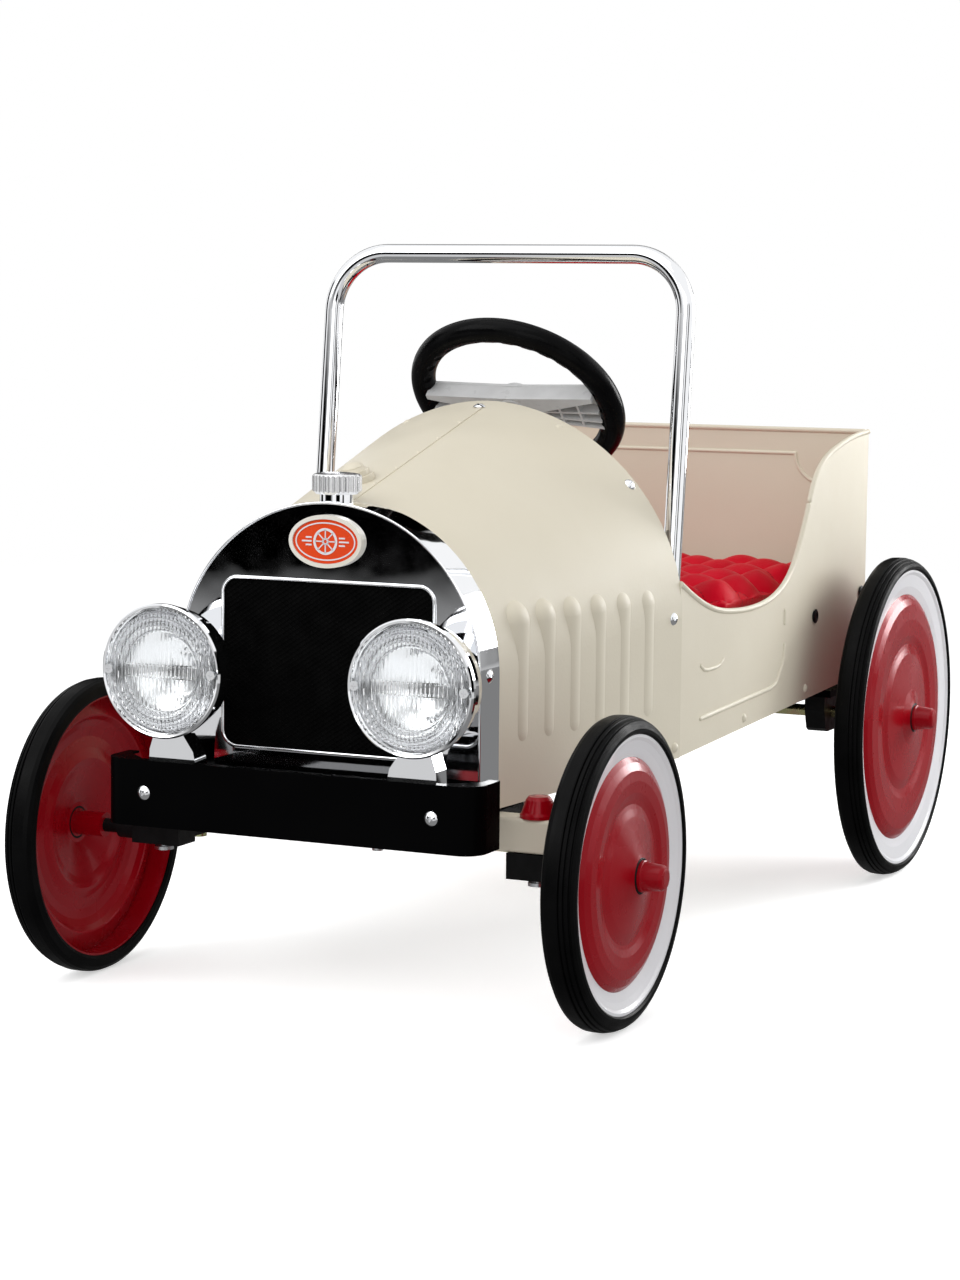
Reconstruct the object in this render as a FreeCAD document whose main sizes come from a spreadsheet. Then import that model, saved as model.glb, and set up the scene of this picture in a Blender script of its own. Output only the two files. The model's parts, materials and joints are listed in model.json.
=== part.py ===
import FreeCAD, Part
import math
import os
import re
import Sketcher

# Child's pedal car. Millimetres, +Z up, nose towards -Y, driver's left towards +X.
# The origin is on the ground, under the middle of the overall length and width.

doc = FreeCAD.newDocument("PedalCar")
V = FreeCAD.Vector

# ---------------------------------------------------------------- driving dimensions
sheet = doc.addObject("Spreadsheet::Sheet", "Spec")
SPEC = {
    # wheels and axles
    "front_axle_y": (-332.8, "front axle behind the origin"),
    "wheelbase": (636.0, "front axle to rear axle"),
    "front_tyre_r": (108.0, "front tyre radius"),
    "rear_tyre_r": (137.6, "rear tyre radius"),
    "front_lip_r": (96.0, "front disc rim radius"),
    "rear_lip_r": (127.6, "rear disc rim radius"),
    "front_dish_r": (80.0, "front red dish radius"),
    "rear_dish_r": (106.0, "rear red dish radius"),
    "front_crease_r": (48.0, "front dish crease radius"),
    "rear_crease_r": (63.0, "rear dish crease radius"),
    "wheel_plane_x": (217.0, "outer face of each wheel disc from the middle"),
    "tyre_width": (22.0, "tyre width"),
    "axle_r": (5.0, "axle radius"),
    "bore_r": (5.05, "bore that runs on an axle"),
    "cap_length": (18.0, "hub cap length"),
    "cap_r": (11.0, "hub cap radius at its base"),
    # front beam and steering
    "beam_half": (163.0, "front beam half length"),
    "beam_size": (24.0, "front beam width and height"),
    "beam_z": (118.0, "underside of the front beam"),
    "kingpin_x": (148.6, "kingpin distance from the middle"),
    "kingpin_r": (4.0, "kingpin radius"),
    "arm_length": (50.0, "steering arm length behind the kingpin"),
    "tie_z": (107.0, "underside of the tie rod"),
    "tie_thick": (4.0, "tie rod thickness"),
    "wheel_hub_y": (289.5, "steering wheel hub behind the front axle"),
    "wheel_hub_z": (416.2, "steering wheel hub height"),
    "column_tilt": (44.5, "column lean from upright"),
    "column_r": (6.0, "column radius"),
    "column_length": (340.0, "column length from hub to bend"),
    "rim_r": (77.6, "steering wheel rim centre-line radius"),
    "grip_r": (9.6, "steering wheel grip radius"),
    # pedals and crank
    "crank_r": (38.0, "crank throw"),
    "crank_x": (36.0, "pedal rod plane from the middle"),
    "pivot_y": (160.0, "pedal shaft behind the front axle"),
    "pivot_z": (250.0, "pedal shaft height"),
    "pedal_arm": (112.4, "pedal shaft to rod pin"),
    # body
    "skin": (1.2, "body sheet thickness"),
    "nose_half": (117.0, "half width at the radiator"),
    "cowl_half": (161.0, "half width from the cowl back"),
    "nose_top": (354.0, "hood height at the radiator"),
    "cowl_top": (417.0, "cowl height at its rear edge"),
    "nose_shoulder": (238.0, "height where the nose starts to round over"),
    "cowl_shoulder": (262.0, "height where the cowl starts to round over"),
    "cowl_y": (233.0, "rear edge of the cowl behind the front axle"),
    "tail_y": (688.0, "back of the body behind the front axle"),
    "skirt_front": (145.0, "bottom edge height at the nose"),
    "skirt_rise": (0.0325, "rise of the bottom edge per millimetre"),
    "tail_top": (381.5, "height of the back panel"),
    "louvre_pitch": (31.7, "spacing of the hood louvres"),
    "louvre_first": (33.0, "first louvre behind the front axle"),
    # radiator, lamps, bumper
    "face_y": (-30.0, "radiator front face from the front axle"),
    "grille_half": (82.0, "grille opening half width"),
    "grille_low": (180.0, "grille opening bottom"),
    "grille_high": (299.0, "grille opening top"),
    "badge_z": (327.5, "badge height"),
    "cap_y": (-16.0, "radiator cap from the front axle"),
    "filler_r": (17.3, "radiator cap radius"),
    "lamp_x": (95.3, "headlamp distance from the middle"),
    "lamp_z": (238.0, "headlamp height"),
    "lamp_r": (46.8, "headlamp outer radius"),
    "lamp_y": (-91.0, "headlamp rim from the front axle"),
    "bumper_half": (144.0, "bumper half width"),
    "bumper_y": (-92.0, "bumper front face from the front axle"),
    "bumper_low": (128.5, "bumper bottom"),
    "bumper_height": (46.5, "bumper height"),
    "bumper_screw_z": (152.0, "height of the bumper screws"),
    "bumper_wrap": (37.0, "how far the bumper ends wrap back"),
    "bumper_bend": (16.0, "bend radius of the bumper ends"),
    # hoop, seat, frame
    "hoop_half": (148.8, "hoop post distance from the middle"),
    "hoop_r": (7.2, "hoop tube radius"),
    "hoop_bore": (6.0, "hoop tube inner radius"),
    "hoop_bend": (45.0, "hoop corner radius"),
    "hoop_height": (331.0, "hoop length along its posts"),
    "hoop_rake": (6.3, "hoop lean"),
    "hoop_foot": (200.0, "height of the hoop's lower ends"),
    "seat_front": (366.0, "front of the seat behind the front axle"),
    "deck_z": (236.0, "underside of the seat deck"),
    "cushion_thick": (31.0, "cushion thickness"),
    "rail_x": (100.0, "inner face of a chassis rail"),
    "rail_w": (14.0, "rail width"),
    "rail_low": (142.0, "rail underside"),
    "rail_high": (162.0, "rail top"),
}
for row, (alias, (value, note)) in enumerate(SPEC.items(), 1):
    sheet.set("A%d" % row, note)
    sheet.set("B%d" % row, str(value))
    sheet.setAlias("B%d" % row, alias)
doc.recompute()


def ex(text):
    """Turns "[name] + 2" into an expression on the sheet."""
    return re.sub(r"\[(\w+)\]", r"Spec.\1", str(text))


def num(text):
    """The present value of such an expression."""
    value = sheet.evalExpression(ex(text))
    return float(getattr(value, "Value", value))


def bind(obj, prop, text):
    obj.setExpression(prop, ex(text))


def along(text):
    """A length position counted from the front axle."""
    return "[front_axle_y] + (%s)" % text


def place(obj, x="0", y="0", z="0", turn=None):
    """Puts an object at x, y, z with an optional FreeCAD.Rotation."""
    if turn is not None:
        obj.Placement = FreeCAD.Placement(V(0, 0, 0), turn)
    for axis, text in zip("xyz", (x, y, z)):
        bind(obj, "Placement.Base." + axis, text)
    return obj


NODES = {}


def node(name, obj):
    """Names the object's file."""
    obj.Label = name
    NODES[name] = obj
    return obj


# ---------------------------------------------------------------- sketch-based bodies
def new_body(name):
    return doc.addObject("PartDesign::Body", name)


def new_sketch(body, plane):
    sketch = body.newObject("Sketcher::SketchObject", body.Name + "_sketch")
    origin = [f for f in body.Origin.OriginFeatures if f.Role == plane]
    sketch.AttachmentSupport = [(origin[0], "")]
    sketch.MapMode = "FlatFace"
    return sketch


def polygon(sketch, corners):
    """A closed outline, each corner held at two expressions from the sketch origin."""
    points = [V(num(a), num(b), 0) for a, b in corners]
    first = sketch.GeometryCount
    count = len(points)
    for i in range(count):
        sketch.addGeometry(Part.LineSegment(points[i], points[(i + 1) % count]))
    for i in range(count):
        after = first + (i + 1) % count
        sketch.addConstraint(Sketcher.Constraint("Coincident", first + i, 2, after, 1))
    for i, corner in enumerate(corners):
        for kind, text, axis in zip(("DistanceX", "DistanceY"), corner, (-2, -1)):
            if text == "0":
                sketch.addConstraint(Sketcher.Constraint("PointOnObject", first + i, 1, axis))
                continue
            rule = Sketcher.Constraint(kind, -1, 1, first + i, 1, num(text))
            bind(sketch, "Constraints[%d]" % sketch.addConstraint(rule), text)


def circle(sketch, x, y, radius):
    index = sketch.addGeometry(Part.Circle(V(num(x), num(y), 0), V(0, 0, 1), num(radius)))
    size = sketch.addConstraint(Sketcher.Constraint("Radius", index, num(radius)))
    bind(sketch, "Constraints[%d]" % size, radius)
    for kind, text, axis in zip(("DistanceX", "DistanceY"), (x, y), (-2, -1)):
        if text == "0":
            sketch.addConstraint(Sketcher.Constraint("PointOnObject", index, 3, axis))
            continue
        rule = Sketcher.Constraint(kind, -1, 1, index, 3, num(text))
        bind(sketch, "Constraints[%d]" % sketch.addConstraint(rule), text)
    return index


def turned(name, plane, axis, corners):
    """A body of revolution about the sketch's H_Axis or V_Axis."""
    body = new_body(name)
    sketch = new_sketch(body, plane)
    polygon(sketch, corners)
    spin = body.newObject("PartDesign::Revolution", name + "_turn")
    spin.Profile = sketch
    spin.ReferenceAxis = (sketch, [axis])
    spin.Angle = 360
    sketch.Visibility = False
    return body


def padded(name, plane, corners, length, both=False):
    """A body padded from an outline by the length."""
    body = new_body(name)
    sketch = new_sketch(body, plane)
    polygon(sketch, corners)
    pad = body.newObject("PartDesign::Pad", name + "_pad")
    pad.Profile = sketch
    bind(pad, "Length", length)
    pad.Midplane = both
    return body


def pocket(body, plane, draw, length, both=True):
    sketch = new_sketch(body, plane)
    draw(sketch)
    cut = body.newObject("PartDesign::Pocket", body.Name + "_pocket")
    cut.Profile = sketch
    bind(cut, "Length", length)
    cut.Midplane = both
    return cut


def round_edges(body, radius, wanted):
    """Fillets the edges of the body's tip that satisfy wanted(edge)."""
    doc.recompute()
    base = body.Tip
    names = ["Edge%d" % (i + 1) for i, e in enumerate(base.Shape.Edges) if wanted(e)]
    fillet = body.newObject("PartDesign::Fillet", body.Name + "_round")
    fillet.Base = (base, names)
    bind(fillet, "Radius", radius)
    return fillet


def is_along(edge, axis):
    if not isinstance(edge.Curve, Part.Line):
        return False
    return abs(abs(edge.Curve.Direction.dot(axis)) - 1) < 1e-6


# ---------------------------------------------------------------- primitives
def box(name, low, size):
    obj = doc.addObject("Part::Box", name)
    for prop, text in zip(("Length", "Width", "Height"), size):
        bind(obj, prop, text)
    return place(obj, *low)


def rod(name, start, radius, length, turn=None):
    """A cylinder from start, along +Z unless turned."""
    obj = doc.addObject("Part::Cylinder", name)
    bind(obj, "Radius", radius)
    bind(obj, "Height", length)
    return place(obj, *start, turn=turn)


def joined(name, parts):
    obj = doc.addObject("Part::MultiFuse", name)
    obj.Shapes = parts
    obj.Refine = True
    return obj


def minus(name, base, tool):
    obj = doc.addObject("Part::Cut", name)
    obj.Base = base
    obj.Tool = tool
    obj.Refine = True
    return obj


def plain(name, shape):
    obj = doc.addObject("Part::Feature", name)
    obj.Shape = shape
    return obj


TO_X = FreeCAD.Rotation(V(0, 1, 0), 90)
TO_MINUS_X = FreeCAD.Rotation(V(0, 1, 0), -90)
TO_MINUS_Y = FreeCAD.Rotation(V(1, 0, 0), 90)
TURN_ROUND = FreeCAD.Rotation(V(0, 0, 1), 180)
LEAN = FreeCAD.Rotation(V(1, 0, 0), -num("[column_tilt]"))
SIDES = {"left": 1, "right": -1}


# ---------------------------------------------------------------- wheels
def wheel(corner, side, axle_y, axle_z, family):
    """Tyre, red disc, white ring and hub cap, outward along local +X."""
    tyre_r = "[%s_tyre_r]" % family
    lip = "[%s_lip_r]" % family
    dish = "[%s_dish_r]" % family
    crease = "[%s_crease_r]" % family
    tread = "(%s - %s)" % (tyre_r, lip)
    tyre = [
        ("-[tyre_width] + 1", lip),
        ("-[tyre_width]", lip + " + 2.5"),
        ("-[tyre_width] + 0.5", tyre_r + " - 4"),
        ("-[tyre_width] + 2.2", tyre_r + " - 1.4"),
        ("-[tyre_width] + 5", tyre_r + " - 0.2"),
        ("-[tyre_width] + 8", tyre_r),
        ("-9", tyre_r),
        ("-8.2", tyre_r + " - 0.3"),
        ("-7.9", tyre_r + " - 1.5"),
        ("-7.3", tyre_r + " - 1.5"),
        ("-6.9", tyre_r + " - 0.5"),
        ("-5", tyre_r + " - 0.9"),
        ("-4.6", tyre_r + " - 2.3"),
        ("-4.0", tyre_r + " - 2.4"),
        ("-3.5", tyre_r + " - 1.6"),
        ("-1.7", tyre_r + " - 2.4"),
        ("-1.4", tyre_r + " - 3.9"),
        ("-0.8", tyre_r + " - 4.1"),
        ("-0.2", tyre_r + " - 3.5"),
        ("1.2", lip + " + %s * 0.52" % tread),
        ("2.2", lip + " + %s * 0.3" % tread),
        ("2.2", lip + " + 1.2"),
        ("1.2", lip),
    ]
    outer = [
        ("8", "12"),
        ("7", "15"),
        ("4.6", "[front_crease_r] * 0.5"),
        ("0.8", crease + " - 8"),
        ("-0.8", crease + " - 3"),
        ("-1.6", crease),
        ("-1", crease + " + 3"),
        ("0.6", crease + " + 8"),
        ("1.4", "(%s + %s) / 2" % (crease, dish)),
        ("0.4", dish + " - 9"),
        ("-2", dish + " - 3.5"),
        ("-4.7", dish),
        ("-5.7", dish + " + 0.4"),
        ("-1.2", lip + " - 0.8"),
        ("-1", lip),
    ]
    inner = [
        ("-[tyre_width] + 2", lip),
        ("-[tyre_width] + 2", lip + " - 1.5"),
        ("-3.4", lip + " - 1.5"),
        ("-7.4", dish + " + 0.8"),
        ("-7", dish + " - 0.6"),
    ]
    inner += [("(%s) - 1.8" % a, b) for a, b in reversed(outer[1:11])]
    hub = [("4.8", "9"), ("-19", "9"), ("-19", "[bore_r]"), ("8", "[bore_r]")]
    disc = outer + inner + hub
    ring = [
        ("-4.7", dish + " + 0.1"),
        ("-2.6", dish + " + 7"),
        ("-0.9", lip + " - 4.5"),
        ("0.6", lip + " - 2.2"),
        ("0.6", lip + " - 0.2"),
        ("-0.9", lip + " - 0.2"),
        ("-1.2", lip + " - 0.9"),
        ("-5.6", dish + " + 0.5"),
    ]
    cap = [
        ("8.1", "[bore_r] + 0.25"),
        ("8.1", "[cap_r]"),
        ("10.4", "[cap_r]"),
        ("10.8", "[cap_r] - 0.7"),
        ("8 + [cap_length] - 2.6", "[cap_r] - 2.2"),
        ("8 + [cap_length] - 0.6", "[cap_r] - 3.6"),
        ("8 + [cap_length]", "[cap_r] - 6"),
        ("8 + [cap_length]", "0"),
        ("15", "0"),
        ("15", "[bore_r] + 0.25"),
    ]
    sign = SIDES[side]
    turn = None if sign > 0 else TURN_ROUND
    for part, corners in (("tyre", tyre), ("disc", disc), ("whitewall", ring), ("hubcap", cap)):
        name = "%s_%s" % (part, corner)
        body = turned(name, "XY_Plane", "H_Axis", corners)
        place(body, "%d * [wheel_plane_x]" % sign, along(axle_y), axle_z, turn)
        node(name, body)


wheel("fl", "left", "0", "[front_tyre_r]", "front")
wheel("fr", "right", "0", "[front_tyre_r]", "front")
wheel("rl", "left", "[wheelbase]", "[rear_tyre_r]", "rear")
wheel("rr", "right", "[wheelbase]", "[rear_tyre_r]", "rear")


# ---------------------------------------------------------------- front beam and steering
beam_mid = "[beam_z] + [beam_size] / 2"
beam = padded("front_beam", "YZ_Plane", [
    ("-[beam_size] / 2", "0"),
    ("[beam_size] / 2", "0"),
    ("[beam_size] / 2", "[beam_size]"),
    ("-[beam_size] / 2", "[beam_size]"),
], "2 * [beam_half]", both=True)
round_edges(beam, "3", lambda e: is_along(e, V(1, 0, 0)))


def kingpin_holes(sketch):
    for sign in (1, -1):
        circle(sketch, "%d * [kingpin_x]" % sign, "0", "[kingpin_r]")


pocket(beam, "XY_Plane", kingpin_holes, "3 * [beam_size]")
place(beam, "0", along("0"), "[beam_z]")
node("front_beam", beam)

pins = []
tops = []
for side, sign in SIDES.items():
    spot = ("%d * [kingpin_x]" % sign, along("0"))
    shank = rod("pin_" + side, spot + ("97",), "[kingpin_r]", "[beam_z] + [beam_size] - 97")
    head = rod("pin_head_" + side, spot + ("94.5",), "7", "2.5")
    pins.append(joined("kingpin_" + side, [shank, head]))
    cap = turned("cap_" + side, "XZ_Plane", "V_Axis", [
        ("0", "0"), ("13.2", "0"), ("13.2", "2.2"), ("12", "4"), ("9.2", "12.4"), ("7.4", "14.8"), ("0", "15.2"),
    ])
    tops.append(place(cap, *spot, "[beam_z] + [beam_size]"))


def gathered(name, parts):
    """Several like solids in one node."""
    doc.recompute()
    return node(name, plain(name, Part.makeCompound([p.Shape for p in parts])))


gathered("kingpins", pins)
gathered("kingpin_caps", tops)

for side, sign in SIDES.items():
    x = "%d * [kingpin_x]" % sign
    inner = "%s - 19" % x if sign > 0 else "%s - 20" % x
    block = box("block_" + side, (inner, along("-12"), "99.5"), ("39", "24", "18.2"))
    arm = box("arm_" + side, (x + " - 8", along("0"), "99.5"), ("16", "[arm_length]", "6.5"))
    eye = rod("eye_" + side, (x, along("[arm_length]"), "99.5"), "8", "6.5")
    start = "%d * ([kingpin_x] + 10)" % sign
    reach = "[wheel_plane_x] + 12 - [kingpin_x] - 10"
    turn = TO_X if sign > 0 else TO_MINUS_X
    stub = rod("stub_" + side, (start, along("0"), "[front_tyre_r]"), "[axle_r]", reach, turn)
    collar = rod("collar_" + side, (start, along("0"), "[front_tyre_r]"), "8", "26", turn)
    solid = joined("knuckle_solid_" + side, [block, arm, eye, stub, collar])
    bore = rod("king_bore_" + side, (x, along("0"), "90"), "[kingpin_r] + 0.05", "40")
    hole = rod("eye_bore_" + side, (x, along("[arm_length]"), "90"), "3.55", "40")
    cut = minus("knuckle_" + side, solid, joined("knuckle_bores_" + side, [bore, hole]))
    node("knuckle_" + side, cut)

bar = box("tie_bar", ("-[kingpin_x]", along("[arm_length] - 7"), "[tie_z]"),
          ("2 * [kingpin_x]", "14", "[tie_thick]"))
plate = box("tie_plate", ("-17", along("[arm_length] - 15"), "[tie_z]"), ("34", "30", "[tie_thick]"))
tie_ends = [rod("tie_end_" + s, ("%d * [kingpin_x]" % k, along("[arm_length]"), "[tie_z]"), "7", "[tie_thick]")
            for s, k in SIDES.items()]
tie_bores = [rod("tie_bore_" + s, ("%d * [kingpin_x]" % k, along("[arm_length]"), "100"), "3.5", "20")
             for s, k in SIDES.items()]
slot = box("tie_slot", ("-6.4", along("[arm_length] - 10"), "100"), ("12.8", "20", "20"))
tie = minus("tie_rod", joined("tie_solid", [bar, plate] + tie_ends), joined("tie_holes", tie_bores + [slot]))
node("tie_rod", tie)

bolts = []
for side, sign in SIDES.items():
    spot = ("%d * [kingpin_x]" % sign, along("[arm_length]"))
    shank = rod("bolt_" + side, spot + ("96.8",), "3.5", "[tie_z] + [tie_thick] - 96.8")
    low = rod("bolt_nut_" + side, spot + ("96.2",), "6", "3")
    high = rod("bolt_head_" + side, spot + ("[tie_z] + [tie_thick]",), "6", "3")
    bolts.append(joined("tie_bolt_" + side, [shank, low, high]))
gathered("tie_rod_bolts", bolts)

# The column runs down and forward from the hub to the lower bush, then bends straight down.
lean = math.radians(num("[column_tilt]"))
axis_up = V(0, math.sin(lean), math.cos(lean))
hub = V(0, num(along("[wheel_hub_y]")), num("[wheel_hub_z]"))
bend = hub - axis_up * num("[column_length]")
tip = V(0, num(along("[arm_length]")), 98.0)
column = rod("column_tube", ("0", along("[wheel_hub_y] - [column_length] * sin([column_tilt] * 1deg)"),
             "[wheel_hub_z] - [column_length] * cos([column_tilt] * 1deg)"),
             "[column_r]", "[column_length] + 4", LEAN)
knee = plain("column_knee", Part.makeSphere(num("[column_r]"), bend))
drop = plain("column_drop", Part.makeCylinder(4.0, (tip - bend).Length, bend, tip - bend))
node("steering_column", joined("steering_column", [column, knee, drop]))

# Grip ring with shallow finger hollows on its inner side.
ring = doc.addObject("Part::Torus", "grip_ring")
bind(ring, "Radius1", "[rim_r]")
bind(ring, "Radius2", "[grip_r]")
doc.recompute()
hollows = []
for i in range(30):
    angle = math.radians(12 * i)
    out = V(math.cos(angle), math.sin(angle), 0)
    centre = out * (num("[rim_r]") - 9.9) + V(0, 0, -12.9)
    hollows.append(Part.makeSphere(8.0, centre))
grip = plain("steering_rim", ring.Shape.cut(Part.makeCompound(hollows)))
place(grip, "0", along("[wheel_hub_y]"), "[wheel_hub_z]", LEAN)
node("steering_rim", grip)


# Two-winged spoke plate: deep ribs on the underside, a smooth face and a domed middle.
WINGS = [
    ("-[rim_r]", "-17"), ("-14", "-15"), ("14", "-15"), ("[rim_r]", "-17"),
    ("[rim_r]", "19"), ("[rim_r] - 6", "22"), ("0", "13"), ("-[rim_r] + 6", "22"), ("-[rim_r]", "19"),
]
spokes = padded("spoke_plate", "XY_Plane", WINGS, "2.5")


def rib_lines():
    """Solid ribs under the plate, as boxes in the wheel's own axes."""
    ribs = []
    for sign in (1, -1):
        for x in (24.0, 38.0, 54.0):
            high = 10.0 + x * 0.16
            ribs.append(Part.makeBox(1.8, high + 12.0, 9.0, V(sign * x - 0.9, -12.0, -9.0)))
        for edge in (((8, 3), (70, 3)), ((8, 7), (70, 13)), ((8, 11.5), (70, 20))):
            (x0, y0), (x1, y1) = edge
            slat = [V(sign * x0, y0, -9), V(sign * x1, y1, -9), V(sign * x1, y1 + 1.8, -9),
                    V(sign * x0, y0 + 1.8, -9), V(sign * x0, y0, -9)]
            ribs.append(Part.Face(Part.makePolygon(slat)).extrude(V(0, 0, 9)))
        wing = [V(sign * 70, -16.5, -13), V(0, -14.5, -13), V(0, 5, -13), V(sign * 8, 4, -13),
                V(sign * 70, -12, -13), V(sign * 70, -16.5, -13)]
        ribs.append(Part.Face(Part.makePolygon(wing)).extrude(V(0, 0, 13)))
    return ribs


doc.recompute()
dome = Part.makeSphere(13.0, V(0, 0, -1)).common(Part.makeBox(40, 40, 14, V(-20, -20, -14)))
boss = Part.makeCylinder(13.0, 18.0, V(0, 0, -14))
crown = Part.makeCylinder(14.0, 5.0, V(0, 0, 0))
solid = spokes.Shape.fuse(rib_lines() + [dome, boss, crown]).removeSplitter()
grip_room = Part.makeTorus(num("[rim_r]"), num("[grip_r]"))
shaft_room = Part.makeCylinder(num("[column_r]"), 60.0, V(0, 0, -56.0))
solid = solid.cut(grip_room).cut(shaft_room)
solid = max(solid.Solids, key=lambda piece: piece.Volume)
plate = plain("steering_spokes", solid)
place(plate, "0", along("[wheel_hub_y]"), "[wheel_hub_z]", LEAN)
node("steering_spokes", plate)

# Two plain bushes carry the column.
bushes = []
for name, back in (("upper", "78"), ("lower", "[column_length] - 26")):
    spot = ("0", along("[wheel_hub_y] - (%s + 9) * sin([column_tilt] * 1deg)" % back),
            "[wheel_hub_z] - (%s + 9) * cos([column_tilt] * 1deg)" % back)
    body = rod("bush_body_" + name, spot, "10.5", "18", LEAN)
    bore = rod("bush_bore_" + name, spot, "[column_r] + 0.06", "18", LEAN)
    bushes.append(minus("bush_" + name, body, bore))
gathered("column_bushes", bushes)

# ---------------------------------------------------------------- crank, rods and pedals
crank_y = "[wheelbase]"
crank_z = "[rear_tyre_r]"
pieces = []
stretch = [("-[wheel_plane_x] - 12", "-48"), ("-24", "24"), ("48", "[wheel_plane_x] + 12")]
for i, (low, high) in enumerate(stretch):
    pieces.append(rod("axle_%d" % i, (low, along(crank_y), crank_z), "[axle_r]", "(%s) - (%s)" % (high, low), TO_X))
for side, sign in SIDES.items():
    at = "%s + %d * [crank_r]" % (crank_y, -sign)
    start = "%d * [crank_x] - 14" % sign
    pieces.append(rod("crankpin_" + side, (start, along(at), crank_z), "[axle_r]", "28", TO_X))
    for j, edge in enumerate(("-14", "8")):
        web_x = "%d * [crank_x] + (%s)" % (sign, edge)
        web_y = "%s - [crank_r]" % crank_y if sign > 0 else crank_y
        pieces.append(box("web_%s_%d" % (side, j), (web_x, along(web_y), crank_z + " - 6"), ("6", "[crank_r]", "12")))
        for k, y in enumerate((crank_y, at)):
            pieces.append(rod("web_end_%s_%d%d" % (side, j, k), (web_x, along(y), crank_z), "6.5", "6", TO_X))
node("rear_axle", joined("rear_axle", pieces))

rise = num("[pivot_z]") - math.sqrt(num("[pedal_arm]") ** 2 - num("[crank_r]") ** 2)
for side, sign in SIDES.items():
    rear_y = num(along("%s + %d * [crank_r]" % (crank_y, -sign)))
    front_y = num(along("[pivot_y] + %d * [crank_r]" % -sign))
    mid_x = sign * num("[crank_x]")
    rear = V(mid_x, rear_y, num(crank_z))
    front = V(mid_x, front_y, rise)
    half = V(2.5, 0, 0)
    run = front - rear
    up = run.cross(V(1, 0, 0)).normalize() * 5.5
    strip = Part.makePolygon([rear + up - half, rear - up - half, front - up - half, front + up - half,
                              rear + up - half])
    bar = Part.Face(strip).extrude(half * 2)
    big = Part.makeCylinder(9.5, 6.0, rear - V(3, 0, 0), V(1, 0, 0))
    small = Part.makeCylinder(7.5, 5.0, front - half, V(1, 0, 0))
    pin = Part.makeCylinder(4.0, 5.0, front, V(sign, 0, 0))
    whole = bar.fuse([big, small, pin])
    whole = whole.cut(Part.makeCylinder(num("[bore_r]"), 20.0, rear - V(10, 0, 0), V(1, 0, 0)))
    node("pedal_rod_" + side, plain("pedal_rod_" + side, whole.removeSplitter()))

swing = math.degrees(math.asin(num("[crank_r]") / num("[pedal_arm]")))
for side, sign in SIDES.items():
    inner_x = "[crank_x] + 6" if sign > 0 else "-[crank_x] - 12"
    tilt = FreeCAD.Rotation(V(1, 0, 0), -sign * swing)
    # The arm hangs along local -Z from the shaft and swings about X.
    strap = doc.addObject("Part::Box", "strap_" + side)
    bind(strap, "Length", "6")
    bind(strap, "Width", "14")
    bind(strap, "Height", "[pedal_arm] + 22")
    place(strap, "0", "-7", "-[pedal_arm] - 22")
    sleeve = rod("sleeve_" + side, ("-2", "0", "0"), "10", "10", TO_X)
    foot = rod("pedal_pin_" + side, ("3", "0", "-[pedal_arm] - 15"), "4", "46", TO_X if sign > 0 else TO_MINUS_X)
    bore = rod("arm_bore_" + side, ("-20", "0", "0"), "[bore_r]", "40", TO_X)
    arm = minus("pedal_arm_" + side, joined("arm_solid_" + side, [strap, sleeve, foot]), bore)
    place(arm, inner_x, along("[pivot_y]"), "[pivot_z]", tilt)
    node("pedal_arm_" + side, arm)
    pad = padded("pedal_pad_" + side, "YZ_Plane", [
        ("-22", "-6"), ("-20", "-8"), ("20", "-8"), ("22", "-6"), ("22", "6"), ("20", "8"), ("-20", "8"), ("-22", "6"),
    ], "38", both=True)
    pocket(pad, "YZ_Plane", lambda sketch: circle(sketch, "0", "0", "4"), "60")
    hang = V(0, math.sin(math.radians(-sign * swing)), -math.cos(math.radians(swing)))
    reach = "([pedal_arm] + 15)"
    place(pad, "%d * ([crank_x] + 32)" % sign,
          along("[pivot_y] + %s * %.9f" % (reach, hang.y)), "[pivot_z] + %s * %.9f" % (reach, hang.z), tilt)
    node("pedal_pad_" + side, pad)

shaft = rod("pedal_shaft", ("-[rail_x] - 10", along("[pivot_y]"), "[pivot_z]"), "[axle_r]", "2 * [rail_x] + 20", TO_X)
node("pedal_shaft", shaft)

# ---------------------------------------------------------------- body sheet metal
FRONT = num("[front_axle_y]")
NOSE_Y = 2.0
COWL_Y = num("[cowl_y]")
TAIL_Y = num("[tail_y]")
SKIN = num("[skin]")


def skirt(y):
    """Height of the body's bottom edge, y behind the front axle."""
    return num("[skirt_front]") + num("[skirt_rise]") * y


def hood_form(y):
    """Half width, shoulder height, top height and roundness of the hood at y."""
    share = (y - NOSE_Y) / (COWL_Y - NOSE_Y)
    half = num("[nose_half]") + (num("[cowl_half]") + 1.0 - num("[nose_half]")) * share
    shoulder = num("[nose_shoulder]") + (num("[cowl_shoulder]") - num("[nose_shoulder]")) * share
    top = num("[nose_top]") + (num("[cowl_top]") - num("[nose_top]")) * share
    return half, shoulder, top, 2.0 - 0.1 * share


def hood_point(y, z):
    """Point of the hood's left side at height z."""
    half, shoulder, top, power = hood_form(y)
    level = max(0.0, (z - shoulder) / (top - shoulder))
    return V(half * (1 - level ** power) ** (1 / power), FRONT + y, z)


def hood_normal(y, z):
    across = hood_point(y, z + 2) - hood_point(y, z - 2)
    back = hood_point(y + 2, z) - hood_point(y - 2, z)
    return back.cross(across).normalize()


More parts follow.
